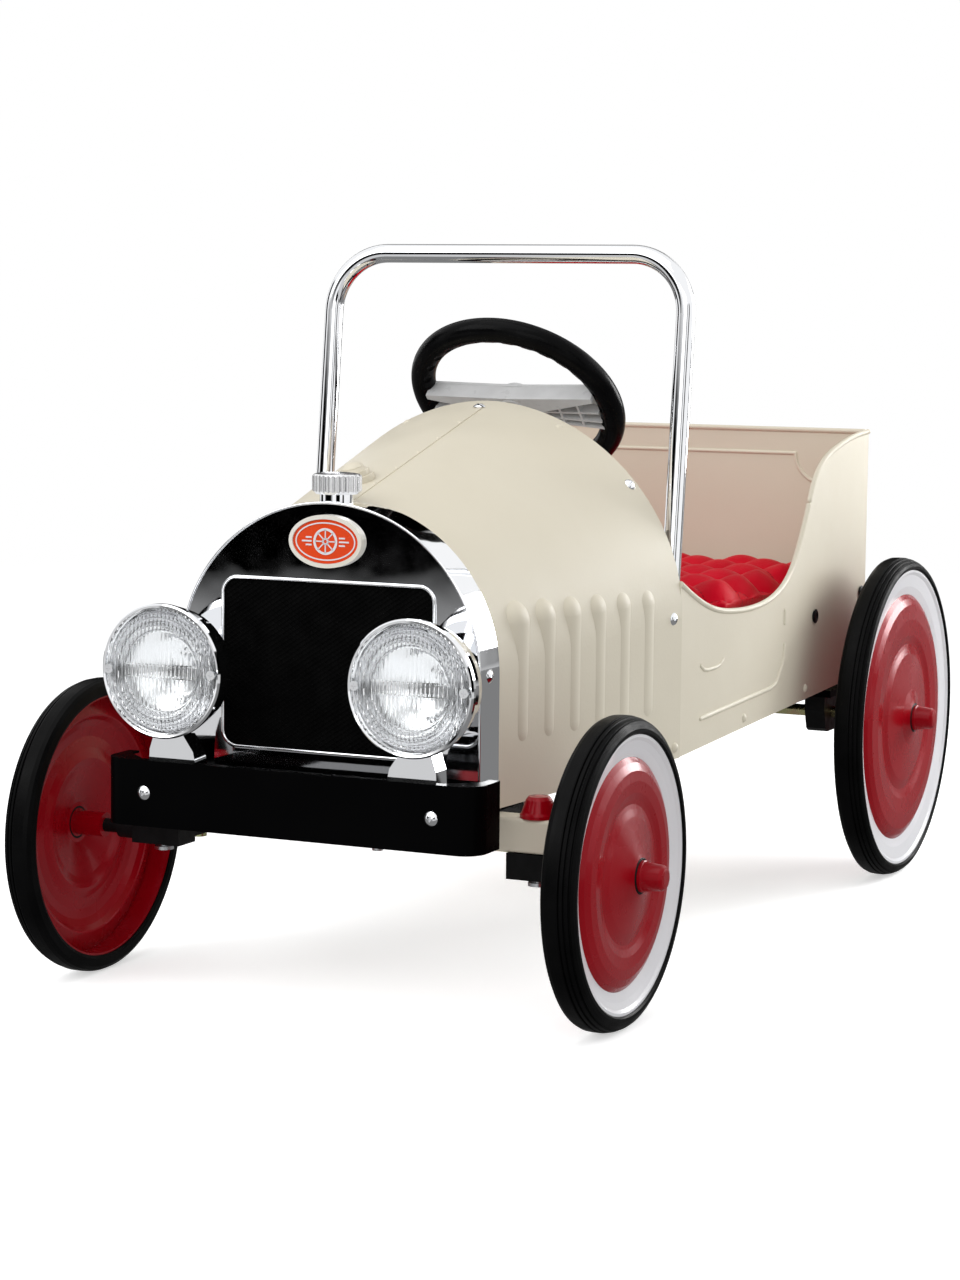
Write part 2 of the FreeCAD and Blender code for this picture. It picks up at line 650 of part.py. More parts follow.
def hood_wire(y, inset, low=None):
    """Closed section of the hood at y behind the front axle, shrunk by inset."""
    half, shoulder, top, power = hood_form(y)
    half -= inset
    top -= inset
    arch = []
    for i in range(25):
        angle = math.pi * i / 24
        c = math.cos(angle)
        x = half * math.copysign(abs(c) ** (2 / power), c)
        z = shoulder + (top - shoulder) * math.sin(angle) ** (2 / power)
        arch.append(V(x, FRONT + y, z))
    curve = Part.BSplineCurve()
    curve.interpolate(arch)
    base = skirt(y) if low is None else low
    right = V(half, FRONT + y, base)
    left = V(-half, FRONT + y, base)
    return Part.Wire([Part.makeLine(right, arch[0]), curve.toShape(), Part.makeLine(arch[-1], left),
                      Part.makeLine(left, right)])


def hood_solid(stations, inset, low=None):
    return Part.makeLoft([hood_wire(y, inset, low) for y in stations], True, False)


STATIONS = [NOSE_Y, 50.0, 100.0, 150.0, 200.0, COWL_Y]
outside = hood_solid(STATIONS, 0.0)
inside = hood_solid([NOSE_Y - 12.0] + STATIONS[1:-1] + [COWL_Y + 8.0], SKIN, 90.0)


def capsule(top, bottom, radius):
    """An upright rod with ball ends."""
    run = bottom - top
    body = Part.makeCylinder(radius, run.Length, top, run)
    return body.fuse([Part.makeSphere(radius, top), Part.makeSphere(radius, bottom)])


def bead(points, radius, closed=False):
    """A half-round raised line through points, as rods and balls."""
    solids = []
    ends = points[1:] + points[:1] if closed else points[1:]
    for a, b in zip(points, ends):
        solids.append(Part.makeCylinder(radius, (b - a).Length, a, b - a))
    solids += [Part.makeSphere(radius, point) for point in points]
    return solids


def cut_out_curve():
    """Upper edge of the cockpit side from the cowl to the tail, (y, z)."""
    return [(COWL_Y, 284.5), (262, 272.5), (300, 260.5), (351, 253.5), (405, 252.5), (455, 259.5),
            (485, 273), (508, 296), (527, 323), (545, 348), (572, 363.5), (607, 372.5), (645, 378.5),
            (TAIL_Y, num("[tail_top]"))]


def side_panel(sign):
    """Flat sheet from the cowl to the tail with the cockpit cut-out."""
    x = sign * num("[cowl_half]")
    curve = Part.BSplineCurve()
    curve.interpolate([V(x, FRONT + y, z) for y, z in cut_out_curve()])
    start = V(x, FRONT + COWL_Y - 1.0, 284.5)
    low = V(x, FRONT + COWL_Y - 1.0, skirt(COWL_Y - 1.0))
    far = V(x, FRONT + TAIL_Y, skirt(TAIL_Y))
    edge = curve.toShape()
    lead = Part.makeLine(start, V(x, FRONT + COWL_Y, 284.5))
    wire = Part.Wire([Part.makeLine(low, start), lead, edge,
                      Part.makeLine(V(x, FRONT + TAIL_Y, num("[tail_top]")), far), Part.makeLine(far, low)])
    sheet_metal = Part.Face(wire).extrude(V(-sign * SKIN, 0, 0))
    # The hem is a wire rolled into the upper edge.
    middle = V(x - sign * SKIN / 2, 0, 0) - V(x, 0, 0)
    spine = Part.BSplineCurve()
    spine.interpolate([V(x, FRONT + y, z - 0.6) + middle for y, z in cut_out_curve()])
    tangent = spine.tangent(spine.FirstParameter)[0]
    ring = Part.Wire([Part.makeCircle(2.3, spine.value(spine.FirstParameter), tangent)])
    hem = Part.Wire([spine.toShape()]).makePipeShell([ring], True, True)
    return sheet_metal, hem


def embossing(sign):
    """Raised lines and dimples on one side of the body."""
    x = sign * (num("[cowl_half]") - 0.4)
    solids = bead([V(x, FRONT + y, z) for y, z in
                   ((278, 176.5), (440, 181.5), (452, 184), (466, 197), (470, 204), (471, 214))], 2.0)
    solids += bead([V(x, FRONT + 471, 232), V(x, FRONT + 471, 242)], 2.0)
    solids += bead([V(x, FRONT + 302 + 25 * t, 212.5 + 5 * t ** 4) for t in (-1, -0.7, -0.35, 0.35, 0.7, 1)], 1.6)
    for y, z in ((226, 161.0), (377, 164.8), (528, 171.5)):
        spot_x = sign * (num("[cowl_half]") - 2.0)
        solids.append(Part.makeSphere(4.2, V(spot_x, FRONT + y, z)))
    return solids


def louvres(sign, radius, sunk):
    """Upright pressed louvres along the hood side."""
    solids = []
    for i in range(6):
        y = num("[louvre_first]") + i * num("[louvre_pitch]")
        x = sign * (hood_form(y)[0] - sunk)
        solids.append(capsule(V(x, FRONT + y, 272.0), V(x, FRONT + y, 195.0), radius))
    return solids


def nose_boss(inset):
    """Stepped pressed dome on the right of the hood, behind the radiator cap."""
    x, y = -17.0, 46.0
    half, shoulder, top, power = hood_form(y)
    height = shoulder + (top - shoulder) * (1 - (abs(x) / half) ** power) ** (1 / power)
    axis = V(-0.17, -0.25, 0.953)
    foot = V(x, FRONT + y, height) - axis * 4.0
    steps = ((14.0, 7.5), (11.0, 11.5), (8.0, 14.5))
    rings = [Part.makeCylinder(radius - inset, rise - inset, foot, axis) for radius, rise in steps]
    return rings + [Part.makeSphere(10.0 - inset, foot + axis * 7.6)]


def seam(half):
    """The lapped edge along the hood's crest with its weld spots, and two round dimples."""
    rise = (num("[cowl_top]") - num("[nose_top]")) / (COWL_Y - NOSE_Y)
    base = hood_form(NOSE_Y)[2]
    start = V(0.2, FRONT + NOSE_Y, base - 0.5)
    corners = [start, start + V(4.0, 0, 0), start + V(4.0, 0, 1.2), start + V(0, 0, 1.2), start]
    length = 214.0 - NOSE_Y
    solids = [Part.Face(Part.makePolygon(corners)).extrude(V(0, length, length * rise))] if half > 0 else []
    if half > 0:
        solids += [Part.makeSphere(2.6, V(2.2, FRONT + y, hood_form(y)[2] - 1.2))
                   for y in (37.2, 72.3, 108.1, 140.7, 178.9)]
    dimple = hood_point(224.0, 399.6)
    solids.append(Part.makeSphere(4.2, V(half * (dimple.x - 1.6), dimple.y, dimple.z - 2.6)))
    return solids


outside = outside.fuse(nose_boss(0.0)).fuse(louvres(1, 16.0, 15.1) + louvres(-1, 16.0, 15.1))
inside = inside.fuse(nose_boss(SKIN)).fuse(louvres(1, 15.0, 15.3) + louvres(-1, 15.0, 15.3))
shell = outside.cut(inside)
room = Part.makeBox(600, 1200, 600, V(-300, FRONT + COWL_Y, 0))
shell = shell.cut(room)
for side, sign in SIDES.items():
    corner = V(0, FRONT - 100, 0) if sign > 0 else V(-300, FRONT - 100, 0)
    half = shell.common(Part.makeBox(300, 900, 600, corner))
    half = max(half.Solids, key=lambda piece: piece.Volume)
    panel, hem = side_panel(sign)
    raised = [piece.cut(inside) for piece in seam(sign)]
    half = half.fuse([panel, hem] + embossing(sign) + raised)
    room_half = num("[cowl_half]") - SKIN
    trimmed = half.cut(Part.makeBox(2 * room_half, 480, 160, V(-room_half, FRONT + COWL_Y + 0.5, 90)))
    for y, z in ((548.0, 230.5), (674.0, 240.0)):
        trimmed = trimmed.cut(Part.makeCylinder(5.0, 20.0, V(sign * 150, FRONT + y, z), V(sign, 0, 0)))
    trimmed = max(trimmed.Solids, key=lambda piece: piece.Volume)
    node("body_side_" + side, plain("body_side_" + side, trimmed))

# Back panel between the sides, with a pressed frame that has scooped corners.
gap = "[cowl_half] - [skin] - 0.1"
low_z = skirt(TAIL_Y)
panel = padded("back_sheet", "XZ_Plane", [
    ("-(%s)" % gap, "%.3f" % low_z), (gap, "%.3f" % low_z), (gap, "[tail_top]"), ("-(%s)" % gap, "[tail_top]"),
], "[skin]")
place(panel, "0", along("[tail_y]"), "0")
doc.recompute()
frame_y = FRONT + TAIL_Y - SKIN + 0.3
outline = []
for cx, cz, first in ((120, 360, 180), (120, 200, 90), (-120, 200, 0), (-120, 360, 270)):
    for i in range(7):
        angle = math.radians(first + 15 * i)
        outline.append(V(cx + 26 * math.cos(angle), frame_y, cz + 26 * math.sin(angle)))
top_hem = Part.makeCylinder(2.3, 2 * num("[cowl_half]") - 6, V(-num("[cowl_half]") + 3, FRONT + TAIL_Y - 0.6,
                                                              num("[tail_top]") - 0.6), V(1, 0, 0))
node("back_panel", plain("back_panel", panel.Shape.fuse(bead(outline, 1.7, True) + [top_hem])))

deck_w = "2 * ([cowl_half] - [skin] - 1)"
deck = box("deck_top", ("-(%s) / 2" % deck_w, along("[seat_front]"), "[deck_z]"),
           (deck_w, "[tail_y] - [skin] - 1 - [seat_front]", "2"))
lip = box("deck_lip", ("-(%s) / 2" % deck_w, along("[seat_front]"), "[deck_z] - 14"), (deck_w, "2", "15"))
node("seat_deck", joined("seat_deck", [deck, lip]))

cushion = box("cushion_block", ("-[cowl_half] + [skin] + 5", along("[seat_front] + 1"), "[deck_z] + 2"),
              ("2 * ([cowl_half] - [skin] - 5)", "[tail_y] - [skin] - 7 - [seat_front]", "[cushion_thick]"))
doc.recompute()
soft = doc.addObject("Part::Fillet", "seat_cushion")
soft.Base = cushion
soft.Edges = [(i + 1, 10.0, 10.0) for i in range(len(cushion.Shape.Edges))]
node("seat_cushion", soft)

# Arched stiffener and dash plate inside the cowl; it carries the upper bush and the hoop.
arch = hood_solid([207.0, 231.5], SKIN + 0.3, 205.0).cut(hood_solid([204.0, 235.0], SKIN + 2.8, 190.0))
dash = hood_solid([222.0, 224.0], SKIN + 0.6, 205.0)
dash = dash.common(Part.makeBox(400, 60, 200, V(-200, FRONT + 200, 326)))
bush_mid = hub - axis_up * 96.0
tunnel = Part.makeCylinder(10.5, 80.0, bush_mid - axis_up * 40, axis_up)
cowl_frame = arch.fuse(dash).cut(tunnel)

# Two bored blocks on the arch hold the hoop's posts.
post_rake = math.radians(num("[hoop_rake]"))
hoop_foot = num("[hoop_foot]")
foot_y = FRONT + 242.5 - (288.0 - hoop_foot) * math.tan(post_rake)
post_dir = V(0, math.sin(post_rake), math.cos(post_rake))
for sign in (1, -1):
    foot = V(sign * num("[hoop_half]"), foot_y, hoop_foot)
    block = Part.makeBox(19.7, 24.0, 36.0, V(138.6 if sign > 0 else -158.3, FRONT + 222.0, hoop_foot + 4))
    bore = Part.makeCylinder(num("[hoop_r]") + 0.05, 90.0, foot - post_dir * 20, post_dir)
    cowl_frame = cowl_frame.fuse(block).cut(bore)
node("cowl_frame", plain("cowl_frame", cowl_frame.removeSplitter()))

# ---------------------------------------------------------------- radiator, badge and cap
face_y = num("[face_y]")
shell_low = 162.3


def radiator_block(front_y, back_y, inset, low):
    """The nose section drawn out along Y between two distances from the front axle."""
    section = Part.Face(hood_wire(NOSE_Y, inset, low))
    section.translate(V(0, front_y - NOSE_Y, 0))
    return section.extrude(V(0, back_y - front_y, 0))


radiator = radiator_block(face_y, NOSE_Y, 0.0, shell_low).cut(radiator_block(face_y + 1.2, NOSE_Y + 9, 1.2, 120.0))
half_w = num("[grille_half]")
low, high = num("[grille_low]"), num("[grille_high]")


def rounded_rectangle(half, bottom, top, radius, y):
    """A closed wire in the XZ plane at y."""
    k = radius * (1 - math.sqrt(0.5))
    spots = [(half - radius, top), (half - k, top - k), (half, top - radius)]
    spots += [(half, bottom + radius), (half - k, bottom + k), (half - radius, bottom)]
    spots += [(-half + radius, bottom), (-half + k, bottom + k), (-half, bottom + radius)]
    spots += [(-half, top - radius), (-half + k, top - k), (-half + radius, top)]
    points = [V(a, y, b) for a, b in spots]
    edges = []
    for i in range(0, 12, 3):
        edges.append(Part.Arc(points[i], points[i + 1], points[i + 2]).toShape())
        edges.append(Part.makeLine(points[i + 2], points[(i + 3) % 12]))
    return Part.Wire(edges)


front = FRONT + face_y
opening = Part.Face(rounded_rectangle(half_w, low, high, 11.0, front - 5)).extrude(V(0, 20, 0))
lip_wire = rounded_rectangle(half_w + 0.4, low - 0.4, high + 0.4, 11.4, front - 0.2)
start = lip_wire.Edges[1].Vertexes[0].Point
lip_ring = Part.Wire([Part.makeCircle(1.3, start, lip_wire.Edges[1].tangentAt(lip_wire.Edges[1].FirstParameter))])
order = lip_wire.Edges[1:] + lip_wire.Edges[:1]
lip_tube = Part.Wire(order).makePipeShell([lip_ring], True, True)
neck = Part.makeCylinder(12.0, 10.0, V(0, FRONT + num("[cap_y]"), 349.5))
radiator = radiator.cut(opening).fuse([lip_tube, neck])
node("radiator_shell", plain("radiator_shell", radiator))

mesh = box("grille_mesh", ("-[grille_half] - 6", along("[face_y] + 1.3"), "[grille_low] - 6"),
           ("2 * [grille_half] + 12", "1.6", "[grille_high] - [grille_low] + 12"))
node("grille_mesh", mesh)


def oval(name, half_x, half_z, depth, hole=None):
    """A flat oval standing on the radiator face."""
    body = new_body(name)
    sketch = new_sketch(body, "XZ_Plane")
    for size in [(half_x, half_z)] + ([hole] if hole else []):
        sketch.addGeometry(Part.Ellipse(V(size[0], 0, 0), V(0, size[1], 0), V(0, 0, 0)))
    pad = body.newObject("PartDesign::Pad", name + "_pad")
    pad.Profile = sketch
    bind(pad, "Length", depth)
    return body


for name, size, depth, hole in (("badge_rim", (28.2, 18.4), "4", (25.4, 15.4)),
                                ("badge_enamel", (25.3, 15.3), "3", None)):
    body = oval(name, size[0], size[1], depth, hole)
    place(body, "0", along("[face_y]"), "[badge_z]")
    node(name, body)

filler = turned("radiator_cap", "XZ_Plane", "V_Axis", [
    ("0", "0"), ("[filler_r] - 2.2", "0"), ("[filler_r]", "2.4"), ("[filler_r]", "12.4"),
    ("[filler_r] - 1.6", "13.8"), ("[filler_r] - 6", "14.6"), ("0", "15.2"),
])
sketch = new_sketch(filler, "XY_Plane")
circle(sketch, "[filler_r] + 0.9", "0", "1.75")
flute = filler.newObject("PartDesign::Pocket", "flute")
flute.Profile = sketch
flute.Length = 60
flute.Midplane = True
flutes = filler.newObject("PartDesign::PolarPattern", "flutes")
flutes.Originals = [flute]
flutes.Axis = (sketch, ["N_Axis"])
flutes.Angle = 360
flutes.Occurrences = 30
filler.Tip = flutes
place(filler, "0", along("[cap_y]"), "359.6")
node("radiator_cap", filler)

# ---------------------------------------------------------------- bumper
bumper = padded("bumper", "XY_Plane", [
    ("-[bumper_half]", "0"), ("[bumper_half]", "0"), ("[bumper_half]", "[bumper_wrap]"),
    ("-[bumper_half]", "[bumper_wrap]"),
], "[bumper_height]")
round_edges(bumper, "[bumper_bend]", lambda e: is_along(e, V(0, 0, 1)) and e.CenterOfMass.y < 1)
doc.recompute()


def channel_room(sketch):
    bend_x = "([bumper_half] - [bumper_bend])"
    turn = "([bumper_bend] - 1.6)"
    right = [("%s + %s * sin(%ddeg)" % (bend_x, turn, a), "[bumper_bend] - %s * cos(%ddeg)" % (turn, a))
             for a in range(0, 91, 15)]
    left = [("-(%s)" % x, y) for x, y in reversed(right)]
    ends = [("[bumper_half] - 1.6", "[bumper_wrap] + 9"), ("-[bumper_half] + 1.6", "[bumper_wrap] + 9")]
    polygon(sketch, right + ends + left)


channel = pocket(bumper, "XY_Plane", channel_room, "[bumper_height] - 3.2")
lift = FreeCAD.Placement(V(0, 0, num("[bumper_height]") / 2), FreeCAD.Rotation())
channel.Profile[0].AttachmentOffset = lift


def flange_room(sketch):
    inset = "[bumper_half] - 8"
    deep = "[bumper_wrap] + 10"
    polygon(sketch, [("-(%s)" % inset, "26"), ("-(%s) + 20" % inset, "8"), ("(%s) - 20" % inset, "8"),
                     (inset, "26"), (inset, deep), ("-(%s)" % inset, deep)])


pocket(bumper, "XY_Plane", flange_room, "4 * [bumper_height]")


def bumper_holes(sketch):
    for sign in (1, -1):
        circle(sketch, "%d * ([rail_x] + [rail_w] / 2 + 3.5)" % sign, "[bumper_screw_z] - [bumper_low]", "2.5")


pocket(bumper, "XZ_Plane", bumper_holes, "20")
place(bumper, "0", along("[bumper_y]"), "[bumper_low]")
node("bumper", bumper)


def screw(base, direction, head_r=5.0, length=9.0):
    """A round-head cross-recess screw whose head's seat is at base, head towards direction."""
    direction = direction.normalize()
    ball_r = (head_r ** 2 + 2.4 ** 2) / (2 * 2.4)
    ball = Part.makeSphere(ball_r, base + direction * (2.4 - ball_r))
    head = ball.common(Part.makeCylinder(head_r, 6.0, base, direction))
    shank = Part.makeCylinder(2.45, length, base, -direction)
    turn = FreeCAD.Rotation(V(0, 0, 1), direction)
    slots = []
    for size in ((4.6, 0.9), (0.9, 4.6)):
        bar = Part.makeBox(size[0], size[1], 3.0, V(-size[0] / 2, -size[1] / 2, 1.2))
        bar.Placement = FreeCAD.Placement(base, turn)
        slots.append(bar)
    return head.fuse(shank).cut(Part.makeCompound(slots))


screw_x = num("[rail_x] + [rail_w] / 2 + 3.5")
node("bumper_screws", plain("bumper_screws", Part.makeCompound([
    screw(V(k * screw_x, FRONT + num("[bumper_y]"), num("[bumper_screw_z]")), V(0, -1, 0)) for k in (1, -1)])))

# ---------------------------------------------------------------- headlamps
stand = padded("lamp_bracket", "XZ_Plane", [
    ("-111", "0"), ("111", "0"), ("111", "5"), ("110.2", "20"), ("106.7", "30.9"), ("83.3", "30.9"), ("75.6", "20"),
    ("72.5", "5"), ("-72.5", "5"), ("-75.6", "20"), ("-83.3", "30.9"), ("-106.7", "30.9"), ("-110.2", "20"), ("-111", "5"),
], "16")
place(stand, "0", along("[lamp_y] + 23"), "[rail_high]")
node("lamp_bracket", stand)

for side, sign in SIDES.items():
    centre = ("%d * [lamp_x]" % sign, along("[lamp_y]"), "[lamp_z]")
    shell_cup = turned("lamp_shell_" + side, "XY_Plane", "V_Axis", [
        ("44.2", "-3.5"), ("45.6", "-4"), ("[lamp_r]", "-2.6"), ("[lamp_r]", "0.5"), ("45.6", "3"), ("44.6", "10"),
        ("42", "20"), ("37", "30"), ("29", "38"), ("18", "43"), ("0", "45"),
        ("0", "43.6"), ("17.4", "41.6"), ("28", "36.8"), ("35.8", "29"), ("40.6", "19.5"), ("43.1", "10"), ("44.2", "2"),
    ])
    place(shell_cup, *centre)
    node("lamp_shell_" + side, shell_cup)
    bowl = turned("lamp_reflector_" + side, "XY_Plane", "V_Axis", [
        ("42.8", "2.4"), ("43.9", "2.4"), ("41", "9"), ("33.5", "18"), ("22", "25.5"), ("8", "30"), ("0", "31"),
        ("0", "30"), ("7.6", "29"), ("21.4", "24.6"), ("32.6", "17.4"), ("39.8", "8.8"),
    ])
    place(bowl, *centre)
    node("lamp_reflector_" + side, bowl)
    lens = turned("lamp_lens_" + side, "XY_Plane", "V_Axis", [
        ("0", "-6"), ("14", "-5.7"), ("28", "-4.7"), ("38", "-3.2"), ("43.6", "-2"), ("44", "-0.8"), ("44", "2.3"),
        ("36", "0.4"), ("26", "-1.4"), ("13", "-2.6"), ("0", "-3"),
    ])
    doc.recompute()
    bosses = [rod("lens_boss_%s_%d" % (side, k), ("%d * 40.5" % k, "-0.5", "0"), "3.4", "3.8", TO_MINUS_Y)
              for k in (1, -1)]
    bores = [rod("lens_bore_%s_%d" % (side, k), ("%d * 40.5" % k, "4", "0"), "1.9", "14", TO_MINUS_Y)
             for k in (1, -1)]
    glass = minus("lens_" + side, joined("lens_solid_" + side, [lens] + bosses),
                  joined("lens_bores_" + side, bores))
    place(glass, *centre)
    node("lamp_lens_" + side, glass)

small = []
for sign in (1, -1):
    for k in (1, -1):
        seat = V(sign * num("[lamp_x]") + k * 40.5, FRONT + num("[lamp_y]") - 4.3, num("[lamp_z]"))
        head = Part.makeCylinder(3.3, 1.4, seat, V(0, -1, 0)).fuse(Part.makeCylinder(1.85, 5.0, seat, V(0, 1, 0)))
        cross = [Part.makeBox(*size, seat + V(-size[0] / 2, -2.0, -size[2] / 2))
                 for size in ((3.6, 1.2, 0.7), (0.7, 1.2, 3.6))]
        small.append(head.cut(Part.makeCompound(cross)))
node("lens_screws", plain("lens_screws", Part.makeCompound(small)))

# ---------------------------------------------------------------- windscreen hoop
hoop = new_body("windscreen_hoop")
spine = new_sketch(hoop, "XZ_Plane")
half, tall, bendr = num("[hoop_half]"), num("[hoop_height]"), num("[hoop_bend]")
spine.addGeometry(Part.LineSegment(V(half, 0, 0), V(half, tall - bendr, 0)))
spine.addGeometry(Part.ArcOfCircle(Part.Circle(V(half - bendr, tall - bendr, 0), V(0, 0, 1), bendr), 0, math.pi / 2))
spine.addGeometry(Part.LineSegment(V(half - bendr, tall, 0), V(-half + bendr, tall, 0)))
spine.addGeometry(Part.ArcOfCircle(Part.Circle(V(-half + bendr, tall - bendr, 0), V(0, 0, 1), bendr),
                                   math.pi / 2, math.pi))
spine.addGeometry(Part.LineSegment(V(-half, tall - bendr, 0), V(-half, 0, 0)))
for a, ea, b, eb in ((0, 2, 1, 1), (1, 2, 2, 1), (2, 2, 3, 1), (3, 2, 4, 1)):
    spine.addConstraint(Sketcher.Constraint("Tangent", a, ea, b, eb))
spine.addConstraint(Sketcher.Constraint("Vertical", 0))
spine.addConstraint(Sketcher.Constraint("Vertical", 4))
spine.addConstraint(Sketcher.Constraint("Equal", 1, 3))
spine.addConstraint(Sketcher.Constraint("PointOnObject", 0, 1, -1))
spine.addConstraint(Sketcher.Constraint("Symmetric", 0, 1, 4, 2, -1, 1))
for rule, text in ((Sketcher.Constraint("DistanceX", -1, 1, 0, 1, half), "[hoop_half]"),
                   (Sketcher.Constraint("DistanceY", -1, 1, 1, 2, tall), "[hoop_height]"),
                   (Sketcher.Constraint("Radius", 1, bendr), "[hoop_bend]")):
    bind(spine, "Constraints[%d]" % spine.addConstraint(rule), text)
tube = new_sketch(hoop, "XY_Plane")
circle(tube, "[hoop_half]", "0", "[hoop_r]")
circle(tube, "[hoop_half]", "0", "[hoop_bore]")
pipe = hoop.newObject("PartDesign::AdditivePipe", "hoop_pipe")
pipe.Profile = tube
pipe.Spine = (spine, ["Edge%d" % (i + 1) for i in range(5)])
rake = FreeCAD.Rotation(V(1, 0, 0), -num("[hoop_rake]"))
place(hoop, "0", along("242.5 - (288 - [hoop_foot]) * tan([hoop_rake] * 1deg)"), "[hoop_foot]", rake)
node("windscreen_hoop", hoop)

# ---------------------------------------------------------------- chassis
rails = []
for sign in (1, -1):
    x = "[rail_x]" if sign > 0 else "-[rail_x] - [rail_w]"
    rails.append(box("rail_%d" % (sign + 1), (x, along("[bumper_y] + 1.6"), "[rail_low]"),
                     ("[rail_w]", "[tail_y] - [skin] - 1 - [bumper_y] - 1.6", "[rail_high] - [rail_low]")))
    out_x = "[rail_x] + 4" if sign > 0 else "-[rail_x] - 4 - 52"
    rails.append(box("outrigger_%d" % (sign + 1), (out_x, along("[wheelbase] - 24"), "153"), ("52", "48", "6")))
    post_x = "[rail_x] + 2" if sign > 0 else "-[rail_x] - 8"
    rails.append(box("shaft_post_%d" % (sign + 1), (post_x, along("[pivot_y] - 8"), "[rail_high] - 4"),
                     ("6", "16", "[pivot_z] + 12 - [rail_high]")))
rails.append(box("front_cross", ("-[rail_x] - 2", along("56"), "[rail_high] - 5"), ("2 * [rail_x] + 4", "14", "5")))
rails.append(box("bush_post", ("-14", along("56"), "[rail_high] - 5"), ("28", "14", "44")))
rails.append(box("rear_cross", ("-[rail_x] - 2", along("[tail_y] - 11"), "[rail_low] + 14"),
                 ("2 * [rail_x] + 4", "8", "6")))
for y in ("[seat_front] + 3", "[tail_y] - 14"):
    for sign in (1, -1):
        x = "[rail_x] + 2" if sign > 0 else "-[rail_x] - 12"
        rails.append(box("deck_post", (x, along(y), "[rail_high] - 4"), ("10", "8", "[deck_z] - [rail_high] + 4")))
bush_room = rod("bush_room", ("0", along("[wheel_hub_y] - ([column_length] + 45) * sin([column_tilt] * 1deg)"),
                "[wheel_hub_z] - ([column_length] + 45) * cos([column_tilt] * 1deg)"), "10.5", "90", LEAN)
shaft_room = rod("shaft_room", ("-150", along("[pivot_y]"), "[pivot_z]"), "[axle_r]", "300", TO_X)
axle_room = rod("axle_room", ("-150", along("[wheelbase]"), "[rear_tyre_r]"), "[axle_r] + 2", "300", TO_X)
frame_bores = joined("frame_bores", [bush_room, shaft_room, axle_room])
node("chassis_frame", minus("chassis_frame", joined("frame_solid", rails), frame_bores))

blocks = []
for sign in (1, -1):
    x = "133" if sign > 0 else "-151"
    lump = padded("bearing_%d" % (sign + 1), "YZ_Plane", [
        ("-24", "0"), ("24", "0"), ("24", "-12"), ("19", "-28"), ("14", "-31"), ("-14", "-31"), ("-19", "-28"),
        ("-24", "-12"),
    ], "18")
    bearing_bore = "[rear_tyre_r] - 153"
    pocket(lump, "YZ_Plane", lambda sketch: circle(sketch, "0", bearing_bore, "[bore_r]"), "60")
    blocks.append(place(lump, x, along("[wheelbase]"), "153"))
gathered("rear_bearings", blocks)

# ---------------------------------------------------------------- body screws
seats = []
for y, z in ((221.8, 258.5), (225.5, 357.6)):
    spot = hood_point(y, z)
    out = hood_normal(y, z)
    seats.append((spot, out))
    seats.append((V(-spot.x, spot.y, spot.z), V(-out.x, out.y, out.z)))
for sign in (1, -1):
    seats.append((V(sign * num("[nose_half]"), FRONT - 14.0, 239.0), V(sign, 0, 0)))
seats.append((V(0, FRONT + 218.0, hood_form(218.0)[2]), V(0, -0.05, 1)))
node("body_screws", plain("body_screws", Part.makeCompound([screw(a, b, 4.8, 7.0) for a, b in seats])))

# ---------------------------------------------------------------- checks and files
doc.recompute()
os.makedirs("parts", exist_ok=True)
broken = [obj.Label for obj in doc.Objects if {"Invalid", "Error"} & set(obj.State)]
if broken:
    raise RuntimeError("did not build: %s" % ", ".join(broken))
for name, obj in NODES.items():
    shape = obj.Shape
    if shape.isNull() or not shape.isValid():
        raise RuntimeError("%s has no valid shape" % name)
for name, obj in NODES.items():
    obj.Shape.exportStep("parts/%s.step" % name)
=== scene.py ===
import json
import math

import bmesh
import bpy
from mathutils import Matrix, Vector


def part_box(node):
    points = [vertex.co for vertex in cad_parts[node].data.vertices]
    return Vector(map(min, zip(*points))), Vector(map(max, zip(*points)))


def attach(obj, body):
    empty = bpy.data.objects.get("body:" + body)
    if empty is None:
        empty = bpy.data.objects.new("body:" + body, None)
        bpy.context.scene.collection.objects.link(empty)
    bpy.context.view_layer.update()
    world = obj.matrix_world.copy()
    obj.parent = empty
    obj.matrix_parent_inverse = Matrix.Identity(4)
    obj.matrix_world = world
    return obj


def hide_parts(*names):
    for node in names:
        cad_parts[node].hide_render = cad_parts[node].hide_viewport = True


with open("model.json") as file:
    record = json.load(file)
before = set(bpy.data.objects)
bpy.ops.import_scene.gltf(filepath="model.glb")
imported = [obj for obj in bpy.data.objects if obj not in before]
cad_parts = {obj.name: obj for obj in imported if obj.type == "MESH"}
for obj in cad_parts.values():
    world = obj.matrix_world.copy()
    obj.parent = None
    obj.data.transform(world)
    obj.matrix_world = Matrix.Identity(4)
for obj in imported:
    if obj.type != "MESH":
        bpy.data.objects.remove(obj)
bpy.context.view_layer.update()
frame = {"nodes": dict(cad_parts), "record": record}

nodes = frame["nodes"]
MM = 0.001


# ------------------------------------------------------------------ material helpers
def new_material(name, **values):
    """A material with one Principled shader whose constant values are set on its own sockets."""
    material = bpy.data.materials.new(name)
    material.use_nodes = True
    shader = material.node_tree.nodes["Principled BSDF"]
    for key, value in values.items():
        socket = shader.inputs[key.replace("_", " ")]
        socket.default_value = (*value, 1.0) if isinstance(value, tuple) else value
    return material


def shader_of(material):
    return material.node_tree.nodes["Principled BSDF"]


def add(material, kind, **settings):
    """A node of that kind, with its properties set."""
    made = material.node_tree.nodes.new("ShaderNode" + kind)
    for key, value in settings.items():
        setattr(made, key, value)
    return made


def wire(material, source, target):
    material.node_tree.links.new(source, target)


